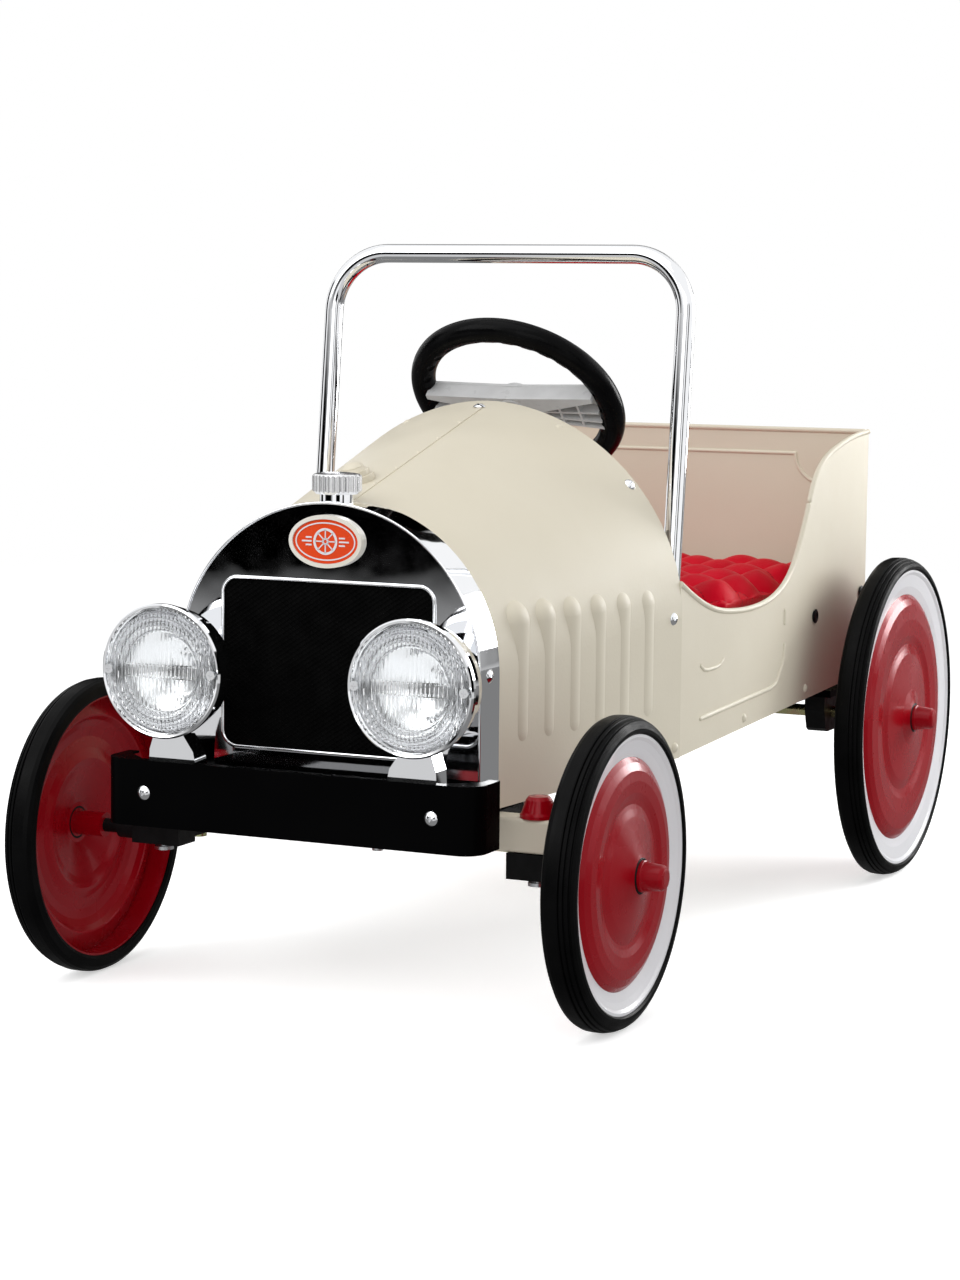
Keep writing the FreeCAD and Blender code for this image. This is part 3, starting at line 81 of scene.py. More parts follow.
def place_coordinates(material, stretch=(1.0, 1.0, 1.0)):
    """Object coordinates in metres, stretched along the axes."""
    coordinates = add(material, "TexCoord")
    mapping = add(material, "Mapping")
    mapping.inputs["Scale"].default_value = stretch
    wire(material, coordinates.outputs["Object"], mapping.inputs["Vector"])
    return mapping.outputs["Vector"]


def noise(material, per_metre, detail=2.0, stretch=(1.0, 1.0, 1.0)):
    """A noise value over the object, with that many features in a metre."""
    texture = add(material, "TexNoise")
    texture.inputs["Scale"].default_value = per_metre
    texture.inputs["Detail"].default_value = detail
    wire(material, place_coordinates(material, stretch), texture.inputs["Vector"])
    return texture.outputs["Fac"]


def cells(material, per_metre, feature="F1"):
    """Distance to the nearest point of a scattered lattice."""
    texture = add(material, "TexVoronoi", feature=feature)
    texture.inputs["Scale"].default_value = per_metre
    wire(material, place_coordinates(material), texture.inputs["Vector"])
    return texture.outputs["Distance"]


def math_node(material, operation, a, b=None):
    made = add(material, "Math", operation=operation)
    for socket, value in zip(made.inputs, (a, b)):
        if isinstance(value, (int, float)):
            socket.default_value = value
        elif value is not None:
            wire(material, value, socket)
    return made.outputs[0]


def spread(material, value, low, high, start=0.3, end=0.7):
    """The value's start to end carried onto low to high."""
    made = add(material, "MapRange")
    for name, number in (("From Min", start), ("From Max", end), ("To Min", low), ("To Max", high)):
        made.inputs[name].default_value = number
    wire(material, value, made.inputs["Value"])
    return made.outputs["Result"]


def mix_colours(material, factor, first, second):
    """first where the factor is 0, second where it is 1; each a colour or a socket."""
    made = add(material, "Mix", data_type="RGBA")
    wire(material, factor, made.inputs["Factor"])
    for socket, value in ((made.inputs[6], first), (made.inputs[7], second)):
        if isinstance(value, tuple):
            socket.default_value = (*value, 1.0)
        else:
            wire(material, value, socket)
    return made.outputs[2]


def vary_colour(material, first, second, per_metre, detail=3.0, start=0.3, end=0.7):
    factor = spread(material, noise(material, per_metre, detail), 0.0, 1.0, start, end)
    wire(material, mix_colours(material, factor, first, second), shader_of(material).inputs["Base Color"])


def vary_roughness(material, low, high, per_metre, detail=3.0, stretch=(1.0, 1.0, 1.0)):
    wire(material, spread(material, noise(material, per_metre, detail, stretch), low, high),
         shader_of(material).inputs["Roughness"])


def raise_surface(material, height, depth, strength=1.0):
    """Adds a bump of that depth in metres on top of those already there."""
    made = add(material, "Bump")
    made.inputs["Strength"].default_value = strength
    made.inputs["Distance"].default_value = depth
    wire(material, height, made.inputs["Height"])
    target = shader_of(material).inputs["Normal"]
    if target.links:
        wire(material, target.links[0].from_socket, made.inputs["Normal"])
    wire(material, made.outputs["Normal"], target)


# ------------------------------------------------------------------ materials
# Tint of the reds' own reflection, which keeps them deep at a glancing view.
RED_TINT = (1.0, 0.16, 0.22)


def enamel(name, colour, shade, gloss, coat, coat_blur, shine=0.4, tint=(1.0, 1.0, 1.0)):
    """Baked enamel on pressed steel: faint tone changes, orange peel and a clear top coat."""
    material = new_material(name, Coat_Weight=coat, Coat_Roughness=coat_blur, Specular_IOR_Level=shine,
                            Specular_Tint=tint)
    vary_colour(material, colour, shade, 9.0)
    vary_roughness(material, gloss, gloss + 0.12, 40.0)
    raise_surface(material, noise(material, 420.0, 1.0), 0.05 * MM)
    raise_surface(material, noise(material, 14.0, 1.0), 0.6 * MM, 0.5)
    return material


def plated(name, colour, low, high, polish=(1.0, 1.0, 1.0), metal=1.0):
    """Plated metal with a slightly uneven polish."""
    material = new_material(name, Base_Color=colour, Metallic=metal)
    vary_roughness(material, low, high, 60.0, 4.0, polish)
    raise_surface(material, noise(material, 35.0, 1.0), 0.25 * MM, 0.35)
    return material


def yellow_zinc():
    """Passivated zinc: a yellow film that shifts towards pink and green."""
    material = new_material("yellow_zinc", Metallic=1.0)
    film = spread(material, noise(material, 70.0), 0.0, 1.0)
    warm = mix_colours(material, film, (0.74, 0.60, 0.26), (0.66, 0.46, 0.30))
    tint = spread(material, noise(material, 130.0, 3.0), 0.0, 1.0)
    colour = mix_colours(material, tint, warm, (0.60, 0.66, 0.34))
    wire(material, colour, shader_of(material).inputs["Base Color"])
    vary_roughness(material, 0.18, 0.34, 220.0)
    return material


def moulded(name, colour, shade, low, high, grain=1500.0, depth=0.06 * MM, shine=0.3):
    """Moulded plastic or rubber with a fine spark-eroded grain."""
    material = new_material(name, Specular_IOR_Level=shine)
    vary_colour(material, colour, shade, 60.0)
    vary_roughness(material, low, high, 160.0)
    raise_surface(material, cells(material, grain), depth)
    return material


def tyre_rubber():
    """Satin black rubber with a dusty bloom in patches and a fine cloth-like grain."""
    material = new_material("tyre_rubber", Specular_IOR_Level=0.05)
    vary_colour(material, (0.0012, 0.0012, 0.0013), (0.0032, 0.0032, 0.0034), 30.0, 5.0, 0.35, 0.75)
    vary_roughness(material, 0.30, 0.50, 45.0, 4.0)
    raise_surface(material, noise(material, 1300.0, 2.0), 0.12 * MM)
    return material


# The cushion's puffs in metres, across and along the car.
QUILT_ACROSS = 0.062
QUILT_ALONG = 0.056
STITCHES_PER_PUFF = 11.0


def quilt_coordinates(material):
    """The two diagonal coordinates whose whole numbers are the cushion's sewn lines."""
    split = add(material, "SeparateXYZ")
    wire(material, place_coordinates(material), split.inputs[0])
    across = math_node(material, "DIVIDE", split.outputs["X"], QUILT_ACROSS)
    along = math_node(material, "DIVIDE", split.outputs["Y"], QUILT_ALONG)
    return math_node(material, "ADD", across, along), math_node(material, "SUBTRACT", across, along)


def red_vinyl():
    """Sewn red vinyl: pebbled grain, tone changes where it stretches, and thread along the seams."""
    material = new_material("red_vinyl", Specular_IOR_Level=0.09, Specular_Tint=RED_TINT)
    tones = (0.62, 0.0015, 0.018), (0.50, 0.001, 0.012)
    tone = mix_colours(material, spread(material, noise(material, 22.0, 3.0), 0.0, 1.0), *tones)
    seam = None
    for one, other in (quilt_coordinates(material), quilt_coordinates(material)[::-1]):
        off_line = math_node(material, "PINGPONG", one, 0.5)
        line = math_node(material, "LESS_THAN", off_line, 0.010)
        step = math_node(material, "MULTIPLY", other, STITCHES_PER_PUFF)
        stitch = math_node(material, "LESS_THAN", math_node(material, "PINGPONG", step, 0.5), 0.33)
        thread = math_node(material, "MULTIPLY", line, stitch)
        seam = thread if seam is None else math_node(material, "MAXIMUM", seam, thread)
    colour = mix_colours(material, seam, tone, (0.20, 0.001, 0.008))
    wire(material, colour, shader_of(material).inputs["Base Color"])
    vary_roughness(material, 0.36, 0.50, 90.0)
    raise_surface(material, cells(material, 900.0), 0.22 * MM, 0.8)
    raise_surface(material, noise(material, 160.0, 3.0), 0.6 * MM, 0.5)
    raise_surface(material, seam, 0.4 * MM, 0.6)
    return material


def clear_lens():
    """Pressed clear plastic with a trace of haze."""
    material = new_material("clear_lens", Base_Color=(0.97, 0.985, 0.99), Transmission_Weight=1.0, IOR=1.49)
    vary_roughness(material, 0.01, 0.05, 120.0)
    return material


def bright_reflector():
    """Vacuum-metallised bowl, a little milky."""
    material = new_material("bright_reflector", Base_Color=(0.68, 0.68, 0.69), Metallic=1.0)
    vary_roughness(material, 0.04, 0.10, 300.0)
    return material


# Each paint's colour and second tone, gloss, and top coat; then the reflection where it isn't the usual one.
MATERIALS = {
    "cream_paint": enamel("cream_enamel", (0.690, 0.640, 0.520), (0.660, 0.608, 0.488), 0.42, 0.12, 0.35),
    "red_paint": enamel("red_enamel", (0.31, 0.0006, 0.0060), (0.26, 0.0004, 0.0045),
                        0.22, 0.20, 0.10, 0.35, RED_TINT),
    "white_paint": enamel("white_enamel", (0.76, 0.76, 0.78), (0.71, 0.71, 0.74), 0.35, 0.4, 0.12),
    "black_paint": enamel("black_enamel", (0.0008, 0.0008, 0.0009), (0.0018, 0.0018, 0.0020),
                          0.20, 0.0, 0.1, 0.012),
    "badge_metal": enamel("badge_silver", (0.84, 0.83, 0.80), (0.74, 0.70, 0.60), 0.26, 0.5, 0.08, 0.8),
    "enamel": enamel("badge_enamel", (0.80, 0.070, 0.006), (0.72, 0.052, 0.004), 0.20, 0.3, 0.05),
    "chrome": plated("chrome", (0.90, 0.91, 0.93), 0.02, 0.06),
    "cap_plastic": plated("cap_plating", (0.92, 0.92, 0.93), 0.10, 0.20, metal=0.78),
    "steel": plated("bright_zinc", (0.66, 0.67, 0.69), 0.22, 0.42, (1.0, 1.0, 6.0)),
    "zinc": yellow_zinc(),
    "lens": clear_lens(),
    "reflector": bright_reflector(),
    "cushion": red_vinyl(),
    "tyre_rubber": tyre_rubber(),
    "mesh": moulded("grille_black", (0.0015, 0.0015, 0.0015), (0.0040, 0.0040, 0.0040),
                    0.55, 0.75, shine=0.03),
    "black_plastic": moulded("black_plastic", (0.003, 0.003, 0.003), (0.007, 0.007, 0.0075),
                             0.34, 0.52, shine=0.12),
    "grip": moulded("rim_plastic", (0.0015, 0.0015, 0.0017), (0.0035, 0.0035, 0.0038),
                    0.16, 0.28, 700.0, 0.05 * MM, 0.05),
    "grey_plastic": moulded("silver_plastic", (0.54, 0.545, 0.55), (0.62, 0.625, 0.63),
                            0.26, 0.38, 1500.0, 0.03 * MM, 0.5),
    "pedal_rubber": moulded("pedal_rubber", (0.016, 0.016, 0.016), (0.030, 0.030, 0.030),
                            0.60, 0.80, 500.0, 0.3 * MM),
}

for entry in frame["record"]["subparts"]:
    cad_node = nodes[entry["node"]]
    cad_node.data.materials.clear()
    cad_node.data.materials.append(MATERIALS[entry["material_slot"]])


# ------------------------------------------------------------------ mesh helpers
def mesh_object(name, form, slot, smooth=True):
    """An object from a bmesh, with the material of a record's slot."""
    bmesh.ops.recalc_face_normals(form, faces=form.faces)
    data = bpy.data.meshes.new(name)
    form.to_mesh(data)
    form.free()
    for face in data.polygons:
        face.use_smooth = smooth
    made = bpy.data.objects.new(name, data)
    bpy.context.scene.collection.objects.link(made)
    data.materials.append(MATERIALS[slot])
    return made


def finished(piece, body, slot, *replaced):
    """Puts the piece on its body and hides the CAD nodes that it stands for; the slot is not used."""
    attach(piece, body)
    if replaced:
        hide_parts(*replaced)
    return piece


def applied(piece):
    """Turns the piece's modifiers into its mesh."""
    evaluated = piece.evaluated_get(bpy.context.evaluated_depsgraph_get())
    data = bpy.data.meshes.new_from_object(evaluated)
    piece.modifiers.clear()
    piece.data = data
    return piece


def lathe(form, profile, spot, axis, steps=96):
    """Turns a closed profile of (along, radius) pairs about an axis line into a ring."""
    axis = Vector(axis).normalized()
    side = axis.orthogonal().normalized()
    rows = []
    for i in range(steps):
        turned = Matrix.Rotation(2 * math.pi * i / steps, 3, axis) @ side
        rows.append([form.verts.new(Vector(spot) + axis * a + turned * r) for a, r in profile])
    count = len(profile)
    for i in range(steps):
        near, far = rows[i], rows[(i + 1) % steps]
        for k in range(count):
            form.faces.new((near[k], near[(k + 1) % count], far[(k + 1) % count], far[k]))


# ------------------------------------------------------------------ washers of the wheels
def hub_washer(corner, body):
    """Black rubber washer between the wheel's hub and its cap."""
    cap_low, cap_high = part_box("hubcap_" + corner)
    middle = (cap_low + cap_high) / 2
    outward = 1.0 if middle.x > 0 else -1.0
    inner = cap_low.x if outward > 0 else cap_high.x
    thick, bore, rim, corner_cut = 3.6 * MM, 7.2 * MM, 12.8 * MM, 0.9 * MM
    profile = [(-thick, bore), (-thick, rim - corner_cut), (-thick + corner_cut, rim), (-corner_cut, rim),
               (0.0, rim - corner_cut), (0.0, bore)]
    form = bmesh.new()
    lathe(form, profile, (inner + outward * 0.4 * MM, middle.y, middle.z), (outward, 0, 0))
    return finished(mesh_object("hub_washer_" + corner, form, "black_plastic", False), body, "black_plastic")


for corner, body in (("fl", "wheel_fl"), ("fr", "wheel_fr"), ("rl", "crank"), ("rr", "wheel_rr")):
    hub_washer(corner, body)


# ------------------------------------------------------------------ plugs in the tail's holes
# Each hole's distance behind the front axle and its height, in metres.
TAIL_HOLES = ((0.548, 0.2305), (0.674, 0.240))


def tail_plugs():
    """Black push-in plugs in the two holes on each side of the tail."""
    front_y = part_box("kingpins")[0].y + 7.0 * MM
    side_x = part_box("seat_deck")[1].x + 3.2 * MM
    profile = [(-4.0 * MM, 3.9 * MM), (-1.4 * MM, 4.8 * MM), (0.0, 4.8 * MM), (0.0, 6.0 * MM),
               (0.6 * MM, 6.0 * MM), (1.3 * MM, 4.6 * MM), (1.3 * MM, 3.2 * MM), (0.5 * MM, 2.6 * MM),
               (0.5 * MM, 0.01 * MM), (-4.0 * MM, 0.01 * MM)]
    for sign, side in ((1, "left"), (-1, "right")):
        form = bmesh.new()
        for y, z in TAIL_HOLES:
            lathe(form, profile, (sign * side_x, front_y + y, z), (sign, 0, 0), 48)
        finished(mesh_object("tail_plugs_" + side, form, "black_plastic", False), "chassis", "black_plastic")


tail_plugs()


# ------------------------------------------------------------------ grille and the radiator's bright edge
def grille_lattice():
    """Diamond lattice of thin strands that fills the radiator's opening."""
    low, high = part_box("grille_mesh")
    margin = 4.6 * MM
    half, bottom, top = high.x - margin, low.z + margin, high.z - margin
    pitch_x, pitch_z = 5.6 * MM, 3.6 * MM
    form = bmesh.new()
    known = {}

    def corner_at(x, z):
        key = (round(x * 1e5), round(z * 1e5))
        if key not in known:
            known[key] = form.verts.new((x, low.y - 0.75 * MM, z))
        return known[key]

    columns = int(2 * half / pitch_x)
    rows = int((top - bottom) / pitch_z)
    for i in range(columns):
        for k in range(2 * rows):
            x = -half + (i + 0.5 + 0.5 * (k % 2)) * pitch_x
            z = bottom + (k + 1) * pitch_z / 2
            if x + pitch_x / 2 > half or z + pitch_z / 2 > top:
                continue
            form.faces.new([corner_at(x + dx * pitch_x / 2, z + dz * pitch_z / 2)
                            for dx, dz in ((-1, 0), (0, -1), (1, 0), (0, 1))])
    piece = mesh_object("grille_lattice", form, "mesh", False)
    strands = piece.modifiers.new("strands", "WIREFRAME")
    strands.thickness = 0.9 * MM
    strands.use_even_offset = False
    applied(piece)
    return finished(piece, "chassis", "mesh")


grille_lattice()


def face_bead():
    """Bright rolled edge where the radiator's face turns into its flank."""
    low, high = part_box("radiator_shell")
    face, centre_z = low.y + 1.5 * MM, (low.z + high.z) / 2
    spots = [vert.co for vert in nodes["radiator_shell"].data.vertices]

    def across(spot):
        return round(spot.x * 1e4), round(spot.z * 1e4)

    behind = {across(spot) for spot in spots if spot.y > face + 10 * MM}
    edge = {across(spot): spot for spot in spots if abs(spot.y - face) < 0.1 * MM and across(spot) in behind}
    order = sorted(edge.values(), key=lambda spot: math.atan2(spot.x, centre_z - spot.z) % (2 * math.pi))
    line = bpy.data.curves.new("face_bead_line", "CURVE")
    line.dimensions = "3D"
    line.bevel_depth = 0.9 * MM
    line.bevel_resolution = 3
    line.use_fill_caps = True
    spline = line.splines.new("POLY")
    spline.points.add(len(order) - 1)
    for point, spot in zip(spline.points, order):
        point.co = (spot.x, face - 0.1 * MM, spot.z, 1.0)
    drawn = bpy.data.objects.new("face_bead_line", line)
    bpy.context.scene.collection.objects.link(drawn)
    form = bmesh.new()
    data = bpy.data.meshes.new_from_object(drawn.evaluated_get(bpy.context.evaluated_depsgraph_get()))
    form.from_mesh(data)
    bpy.data.objects.remove(drawn)
    return finished(mesh_object("face_bead", form, "chrome"), "chassis", "chrome")


face_bead()


# ------------------------------------------------------------------ badge
def badge_sign():
    """A raised oval line and a spoked wheel between two bars, all plain shapes."""
    low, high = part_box("badge_enamel")
    middle = (low + high) / 2
    face = low.y
    half_x, half_z = (high.x - low.x) / 2, (high.z - low.z) / 2
    rise, sink = 0.35 * MM, 0.3 * MM
    form = bmesh.new()

    def strip(points, width, closed):
        """A flat raised line along points in the badge's plane."""
        count = len(points)
        rows = []
        for i, here in enumerate(points):
            before = points[(i - 1) % count] if closed or i else here
            after = points[(i + 1) % count] if closed or i < count - 1 else here
            ahead = (Vector(after) - Vector(before)).normalized()
            side = Vector((-ahead.y, ahead.x)) * width / 2
            row = []
            for sign, depth in ((1, -sink), (1, rise), (-1, rise), (-1, -sink)):
                spot = Vector(here) + side * sign
                row.append(form.verts.new((middle.x + spot.x, face - depth, middle.z + spot.y)))
            rows.append(row)
        for i in range(count if closed else count - 1):
            near, far = rows[i], rows[(i + 1) % count]
            for k in range(4):
                form.faces.new((near[k], near[(k + 1) % 4], far[(k + 1) % 4], far[k]))
        if not closed:
            form.faces.new(rows[0])
            form.faces.new(rows[-1][::-1])

    def oval(rx, rz, steps):
        turns = [2 * math.pi * i / steps for i in range(steps)]
        return [(rx * math.cos(turn), rz * math.sin(turn)) for turn in turns]

    strip(oval(half_x * 0.90, half_z * 0.84, 120), 0.9 * MM, True)
    wheel_r = half_z * 0.55
    strip(oval(wheel_r, wheel_r, 72), 1.7 * MM, True)
    strip(oval(wheel_r * 0.22, wheel_r * 0.22, 32), 1.2 * MM, True)
    for i in range(8):
        turn = 2 * math.pi * i / 8
        ends = [(wheel_r * k * math.cos(turn), wheel_r * k * math.sin(turn)) for k in (0.22, 0.97)]
        strip(ends, 0.8 * MM, False)
    for sign in (1, -1):
        for level, reach in ((2.6 * MM, 0.60), (0.0, 0.72), (-2.6 * MM, 0.60)):
            strip([(sign * (wheel_r + 2.2 * MM), level), (sign * half_x * reach, level)], 1.1 * MM, False)
    return finished(mesh_object("badge_sign", form, "white_paint", False), "chassis", "white_paint")


badge_sign()


# ------------------------------------------------------------------ headlamp lenses
def fluted_lens(side):
    """Clear lens with a smooth domed front and pressed flutes behind it."""
    low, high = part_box("lamp_lens_" + side)
    middle = (low + high) / 2
    radius = (high.x - low.x) / 2 - 0.2 * MM
    dome, pane = 4.2 * MM, 2.2 * MM
    flute_pitch, course_pitch, middle_band = 3.1 * MM, 5.2 * MM, 4.5 * MM
    inner_ring = 0.66 * radius
    rings, steps = 84, 264

    def front(r):
        return low.y + 0.2 * MM + dome * (r / radius) ** 2

    def back(x, z, r):
        """Inner face: shallow upright flutes in the middle, deep rings of blocks around them."""
        flute = abs(math.sin(math.pi * x / flute_pitch))
        course = abs(math.sin(math.pi * (radius - r) / course_pitch))
        band = 1.2 if abs(z) < middle_band else 0.25
        relief = flute * band if r < inner_ring else 0.75 * flute + 1.1 * course
        fade = min(1.0, max(0.0, (radius - r) / (2.5 * MM)))
        step = 0.5 * MM * (1.0 - min(1.0, abs(r - inner_ring) / (1.4 * MM)))
        return front(r) + pane + (relief * MM + step) * fade

    form = bmesh.new()
    layers = []
    for layer in (0, 1):
        centre = form.verts.new((middle.x, front(0.0) if layer == 0 else back(0, 0, 0), middle.z))
        ring_rows = []
        for i in range(1, rings + 1):
            r = radius * i / rings
            row = []
            for k in range(steps):
                turn = 2 * math.pi * k / steps
                x, z = r * math.cos(turn), r * math.sin(turn)
                y = front(r) if layer == 0 else back(x, z, r)
                row.append(form.verts.new((middle.x + x, y, middle.z + z)))
            ring_rows.append(row)
        for k in range(steps):
            form.faces.new((centre, ring_rows[0][k], ring_rows[0][(k + 1) % steps]))
        for near, far in zip(ring_rows, ring_rows[1:]):
            for k in range(steps):
                form.faces.new((near[k], far[k], far[(k + 1) % steps], near[(k + 1) % steps]))
        layers.append(ring_rows[-1])
    for k in range(steps):
        form.faces.new((layers[0][k], layers[0][(k + 1) % steps], layers[1][(k + 1) % steps], layers[1][k]))
    piece = mesh_object("fluted_lens_" + side, form, "lens")
    return finished(piece, "chassis", "lens", "lamp_lens_" + side)


for side in ("left", "right"):
    fluted_lens(side)


# ------------------------------------------------------------------ seat cushion
# How far a point of the cushion may move in the simulation, and its pressure and number of frames.
CUSHION_CAP = 9 * MM
CUSHION_PRESSURE = 4.0
CUSHION_FRAMES = 20


def cushion_blank():
    """A soft-cornered slab a little smaller than the cushion's space."""
    low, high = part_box("seat_cushion")
    inset = 6.0 * MM
    form = bmesh.new()
    bmesh.ops.create_cube(form, size=1.0)
    size = high - low
    for vert in form.verts:
        x, y, z = vert.co
        vert.co = Vector((x * (size.x - 2 * inset), y * (size.y - 2 * inset), z * (size.z - 9 * MM)))
        vert.co += (low + high) / 2 - Vector((0, 0, 2.0 * MM))
    bmesh.ops.bevel(form, geom=form.edges[:] + form.verts[:], offset=8 * MM, segments=3, affect="EDGES")
    return mesh_object("quilted_cushion", form, "cushion")


def swell(piece, pressure, frames, cap):
    """Blows the piece up with cloth pressure, no point further than cap."""
    remesh = piece.modifiers.new("even", "REMESH")
    remesh.mode = "VOXEL"
    remesh.voxel_size = 5 * MM
    applied(piece)
    rest = [vert.co.copy() for vert in piece.data.vertices]
    cloth = piece.modifiers.new("cloth", "CLOTH")
    cloth.settings.quality = 6
    cloth.settings.use_pressure = True
    cloth.settings.uniform_pressure_force = pressure
    cloth.settings.effector_weights.gravity = 0.0
    cloth.settings.tension_stiffness = 12.0
    cloth.settings.compression_stiffness = 12.0
    cloth.point_cache.frame_start = 1
    cloth.point_cache.frame_end = frames
    for number in range(1, frames + 1):
        bpy.context.scene.frame_set(number)
    applied(piece)
    bpy.context.scene.frame_set(1)
    for vert, start in zip(piece.data.vertices, rest):
        moved = vert.co - start
        if moved.length > cap:
            vert.co = start + moved.normalized() * cap


def smoothstep(value, start, end):
    share = min(1.0, max(0.0, (value - start) / (end - start)))
    return share * share * (3 - 2 * share)


def quilt(piece):
    """Presses diagonal sewn lines into the top, with a puff between them, and flattens the underside."""
    low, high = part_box("seat_cushion")
    piece.data.update()
    normals = [vert.normal.copy() for vert in piece.data.vertices]
    for vert, normal in zip(piece.data.vertices, normals):
        u = vert.co.x / QUILT_ACROSS + vert.co.y / QUILT_ALONG
        v = vert.co.x / QUILT_ACROSS - vert.co.y / QUILT_ALONG
        puff = (abs(math.sin(math.pi * u)) * abs(math.sin(math.pi * v))) ** 0.42
        crossing = (abs(math.sin(math.pi * u)) ** 2 + abs(math.sin(math.pi * v)) ** 2) / 2
        edge = min(high.x - abs(vert.co.x), vert.co.y - low.y, high.y - vert.co.y)
        near_edge = smoothstep(edge, 4 * MM, 22 * MM)
        upward = smoothstep(normal.z, 0.25, 0.8)
        sunk = 8.5 * MM * (1 - puff) + 3.5 * MM * (1 - crossing)
        vert.co.z -= sunk * near_edge * upward
        vert.co.z = max(vert.co.z, low.z + 0.4 * MM)
        vert.co.x = min(high.x - 0.2 * MM, max(low.x + 0.2 * MM, vert.co.x))
        vert.co.y = min(high.y - 0.2 * MM, max(low.y + 0.2 * MM, vert.co.y))


def subdivided(piece, levels):
    finer = piece.modifiers.new("finer", "SUBSURF")
    finer.levels = finer.render_levels = levels
    return applied(piece)


def seat_cushion():
    piece = cushion_blank()
    swell(piece, CUSHION_PRESSURE, CUSHION_FRAMES, CUSHION_CAP)
    subdivided(piece, 1)
    quilt(piece)
    subdivided(piece, 1)
    for face in piece.data.polygons:
        face.use_smooth = True
    return finished(piece, "chassis", "cushion", "seat_cushion")


seat_cushion()


# ------------------------------------------------------------------ floor, lights and camera
WHITE = (1.0, 1.0, 1.0)
CAR_MIDDLE = (0.0, 0.0, 0.25)
FLOOR_SIDE = 8.0
# Distances from the car's middle between which the floor fades out, in metres.
FADE_START, FADE_END = 1.1, 3.2
# Studio brightness for the camera and for reflections, and for soft light on surfaces.
WORLD_SEEN, WORLD_SOFT = 1.0, 0.64
# Each lamp's place, size in metres and power in watts, all aimed at the car's middle.
SOFT_LIGHTS = {
    "key": ((-1.5, -2.3, 1.8), (2.0, 1.6), 26.0),
    "top": ((-0.35, -1.0, 2.5), (2.2, 2.0), 19.0),
    "front": ((1.0, -2.6, 1.2), (1.6, 1.2), 8.0),
    "rear": ((1.6, 1.3, 1.1), (1.3, 1.2), 7.0),
    "tail": ((0.75, 1.1, 0.55), (0.5, 0.5), 8.0),
}
# Each upright flag's place, width, height, glow in the middle, and the soft share of its half width.
DARK_CARDS = {
    "card_front": ((-1.15, -2.1, 0.45), 2.7, 1.2, 0.0, 0.45),
    "card_camera": ((1.9, -3.2, 0.8), 1.7, 2.0, 0.0, 0.15),
    "card_left": ((-2.6, -0.3, 0.7), 1.3, 1.6, 0.0, 0.15),
    "card_back_right": ((0.8, 2.7, 0.6), 2.0, 1.5, 0.0, 0.45),
    "card_far_right": ((2.3, 1.7, 0.6), 0.9, 1.5, 0.0, 0.45),
    "card_side": ((2.8, -1.4, 0.7), 0.6, 1.8, 0.0, 0.15),
    "card_back": ((-1.3, 2.65, 1.1), 2.4, 2.4, 0.0, 0.15),
    "card_high": ((-0.6, 2.9, 3.2), 3.6, 1.2, 0.12, 0.30),
}
# The flags that lie flat and stand for the floor in reflections: place, width, length and glow.
FLOOR_CARDS = {
    "card_floor": ((0.0, 3.3, -0.001), 9.0, 8.0, 0.22),
    "card_floor_front": ((0.0, -2.2, -0.001), 9.0, 3.0, 0.65),
}
CAMERA_PLACE = (0.9632, -2.2020, 0.4984)
CAMERA_TURN = (83.44, -0.578, 24.783)
CAMERA_LENS = 84.76


def stage_object(name, data, place=(0, 0, 0)):
    made = bpy.data.objects.new(name, data)
    bpy.context.scene.collection.objects.link(made)
    made.location = place
    return made


def sheet_mesh(name, width, height):
    data = bpy.data.meshes.new(name)
    x, y = width / 2, height / 2
    data.from_pydata([(-x, -y, 0), (x, -y, 0), (x, y, 0), (-x, y, 0)], [], [(0, 1, 2, 3)])
    return data


def floor():
    """Pale floor that fades into the background away from the car, and that reflections don't show."""
    material = new_material("pale_floor", Specular_IOR_Level=0.1, Emission_Color=WHITE,
                            Emission_Strength=0.52)
    vary_colour(material, (0.93, 0.93, 0.932), (0.915, 0.915, 0.918), 3.0)
    vary_roughness(material, 0.5, 0.6, 20.0)
    away = add(material, "VectorMath", operation="LENGTH")
    wire(material, place_coordinates(material), away.inputs[0])
    fade = spread(material, away.outputs["Value"], 1.0, 0.0, FADE_START, FADE_END)
    wire(material, fade, shader_of(material).inputs["Alpha"])
    data = sheet_mesh("floor", FLOOR_SIDE, FLOOR_SIDE)
    data.materials.append(material)
    ground = stage_object("floor", data)
    ground.visible_glossy = ground.visible_diffuse = False


def aimed(thing, place, target):
    thing.location = place
    thing.rotation_euler = (Vector(target) - Vector(place)).to_track_quat("-Z", "Y").to_euler()


def soft_light(name, place, size, watts):
    data = bpy.data.lights.new(name, "AREA")
    data.shape = "RECTANGLE"
    data.size, data.size_y = size
    data.energy = watts
    made = bpy.data.objects.new(name, data)
    bpy.context.scene.collection.objects.link(made)
    aimed(made, place, CAR_MIDDLE)


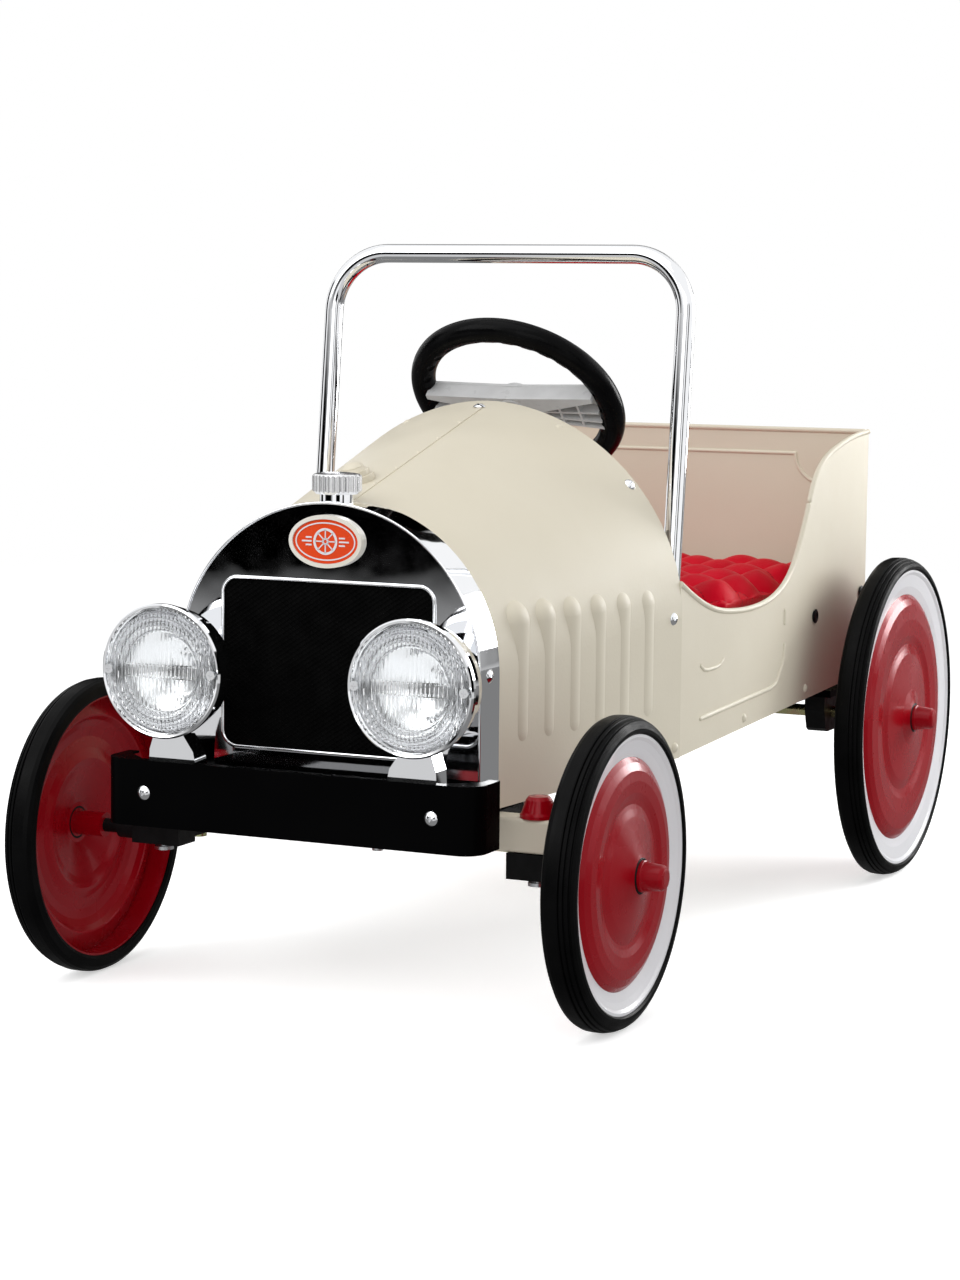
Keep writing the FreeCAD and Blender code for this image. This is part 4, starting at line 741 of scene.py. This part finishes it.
def dark_card(name, place, width, height, glow, soft=0.0):
    """Studio flag that only shows in reflections, dark in the middle and soft towards its borders."""
    material = new_material(name, Base_Color=(0.0, 0.0, 0.0), Roughness=1.0, Specular_IOR_Level=0.0,
                            Emission_Color=WHITE, Emission_Strength=glow)
    if soft:
        split = add(material, "SeparateXYZ")
        wire(material, place_coordinates(material, (2 / width, 2 / height, 1.0)), split.inputs[0])
        sides = [math_node(material, "ABSOLUTE", split.outputs[axis]) for axis in ("X", "Y")]
        border = math_node(material, "MAXIMUM", *sides)
        wire(material, spread(material, border, glow, 1.0, 1.0 - soft, 1.0),
             shader_of(material).inputs["Emission Strength"])
    data = sheet_mesh(name, width, height)
    data.materials.append(material)
    card = stage_object(name, data)
    aimed(card, place, (0.0, 0.0, place[2]))
    card.visible_camera = card.visible_diffuse = card.visible_shadow = card.visible_transmission = False
    return card


def studio():
    """White surroundings, dimmer for soft light than for reflections, with lamps and flags."""
    world = bpy.data.worlds.new("studio")
    bpy.context.scene.world = world
    world.use_nodes = True
    background = world.node_tree.nodes["Background"]
    background.inputs["Color"].default_value = (*WHITE, 1.0)
    rays = world.node_tree.nodes.new("ShaderNodeLightPath")
    level = world.node_tree.nodes.new("ShaderNodeMapRange")
    level.inputs["To Min"].default_value, level.inputs["To Max"].default_value = WORLD_SEEN, WORLD_SOFT
    world.node_tree.links.new(rays.outputs["Is Diffuse Ray"], level.inputs["Value"])
    world.node_tree.links.new(level.outputs["Result"], background.inputs["Strength"])
    for name, values in SOFT_LIGHTS.items():
        soft_light(name, *values)
    for name, values in FLOOR_CARDS.items():
        dark_card(name, *values).rotation_euler = (0, 0, 0)
    cards = {name: dark_card(name, *values) for name, values in DARK_CARDS.items()}
    cards["card_front"].visible_transmission = True


def camera():
    data = bpy.data.cameras.new("camera")
    data.sensor_width = 36.0
    data.lens = CAMERA_LENS
    data.clip_start, data.clip_end = 0.05, 60.0
    made = bpy.data.objects.new("camera", data)
    bpy.context.scene.collection.objects.link(made)
    made.location = CAMERA_PLACE
    made.rotation_euler = [math.radians(turn) for turn in CAMERA_TURN]
    bpy.context.scene.camera = made


floor()
studio()
camera()
bpy.context.scene.view_settings.view_transform = "Standard"
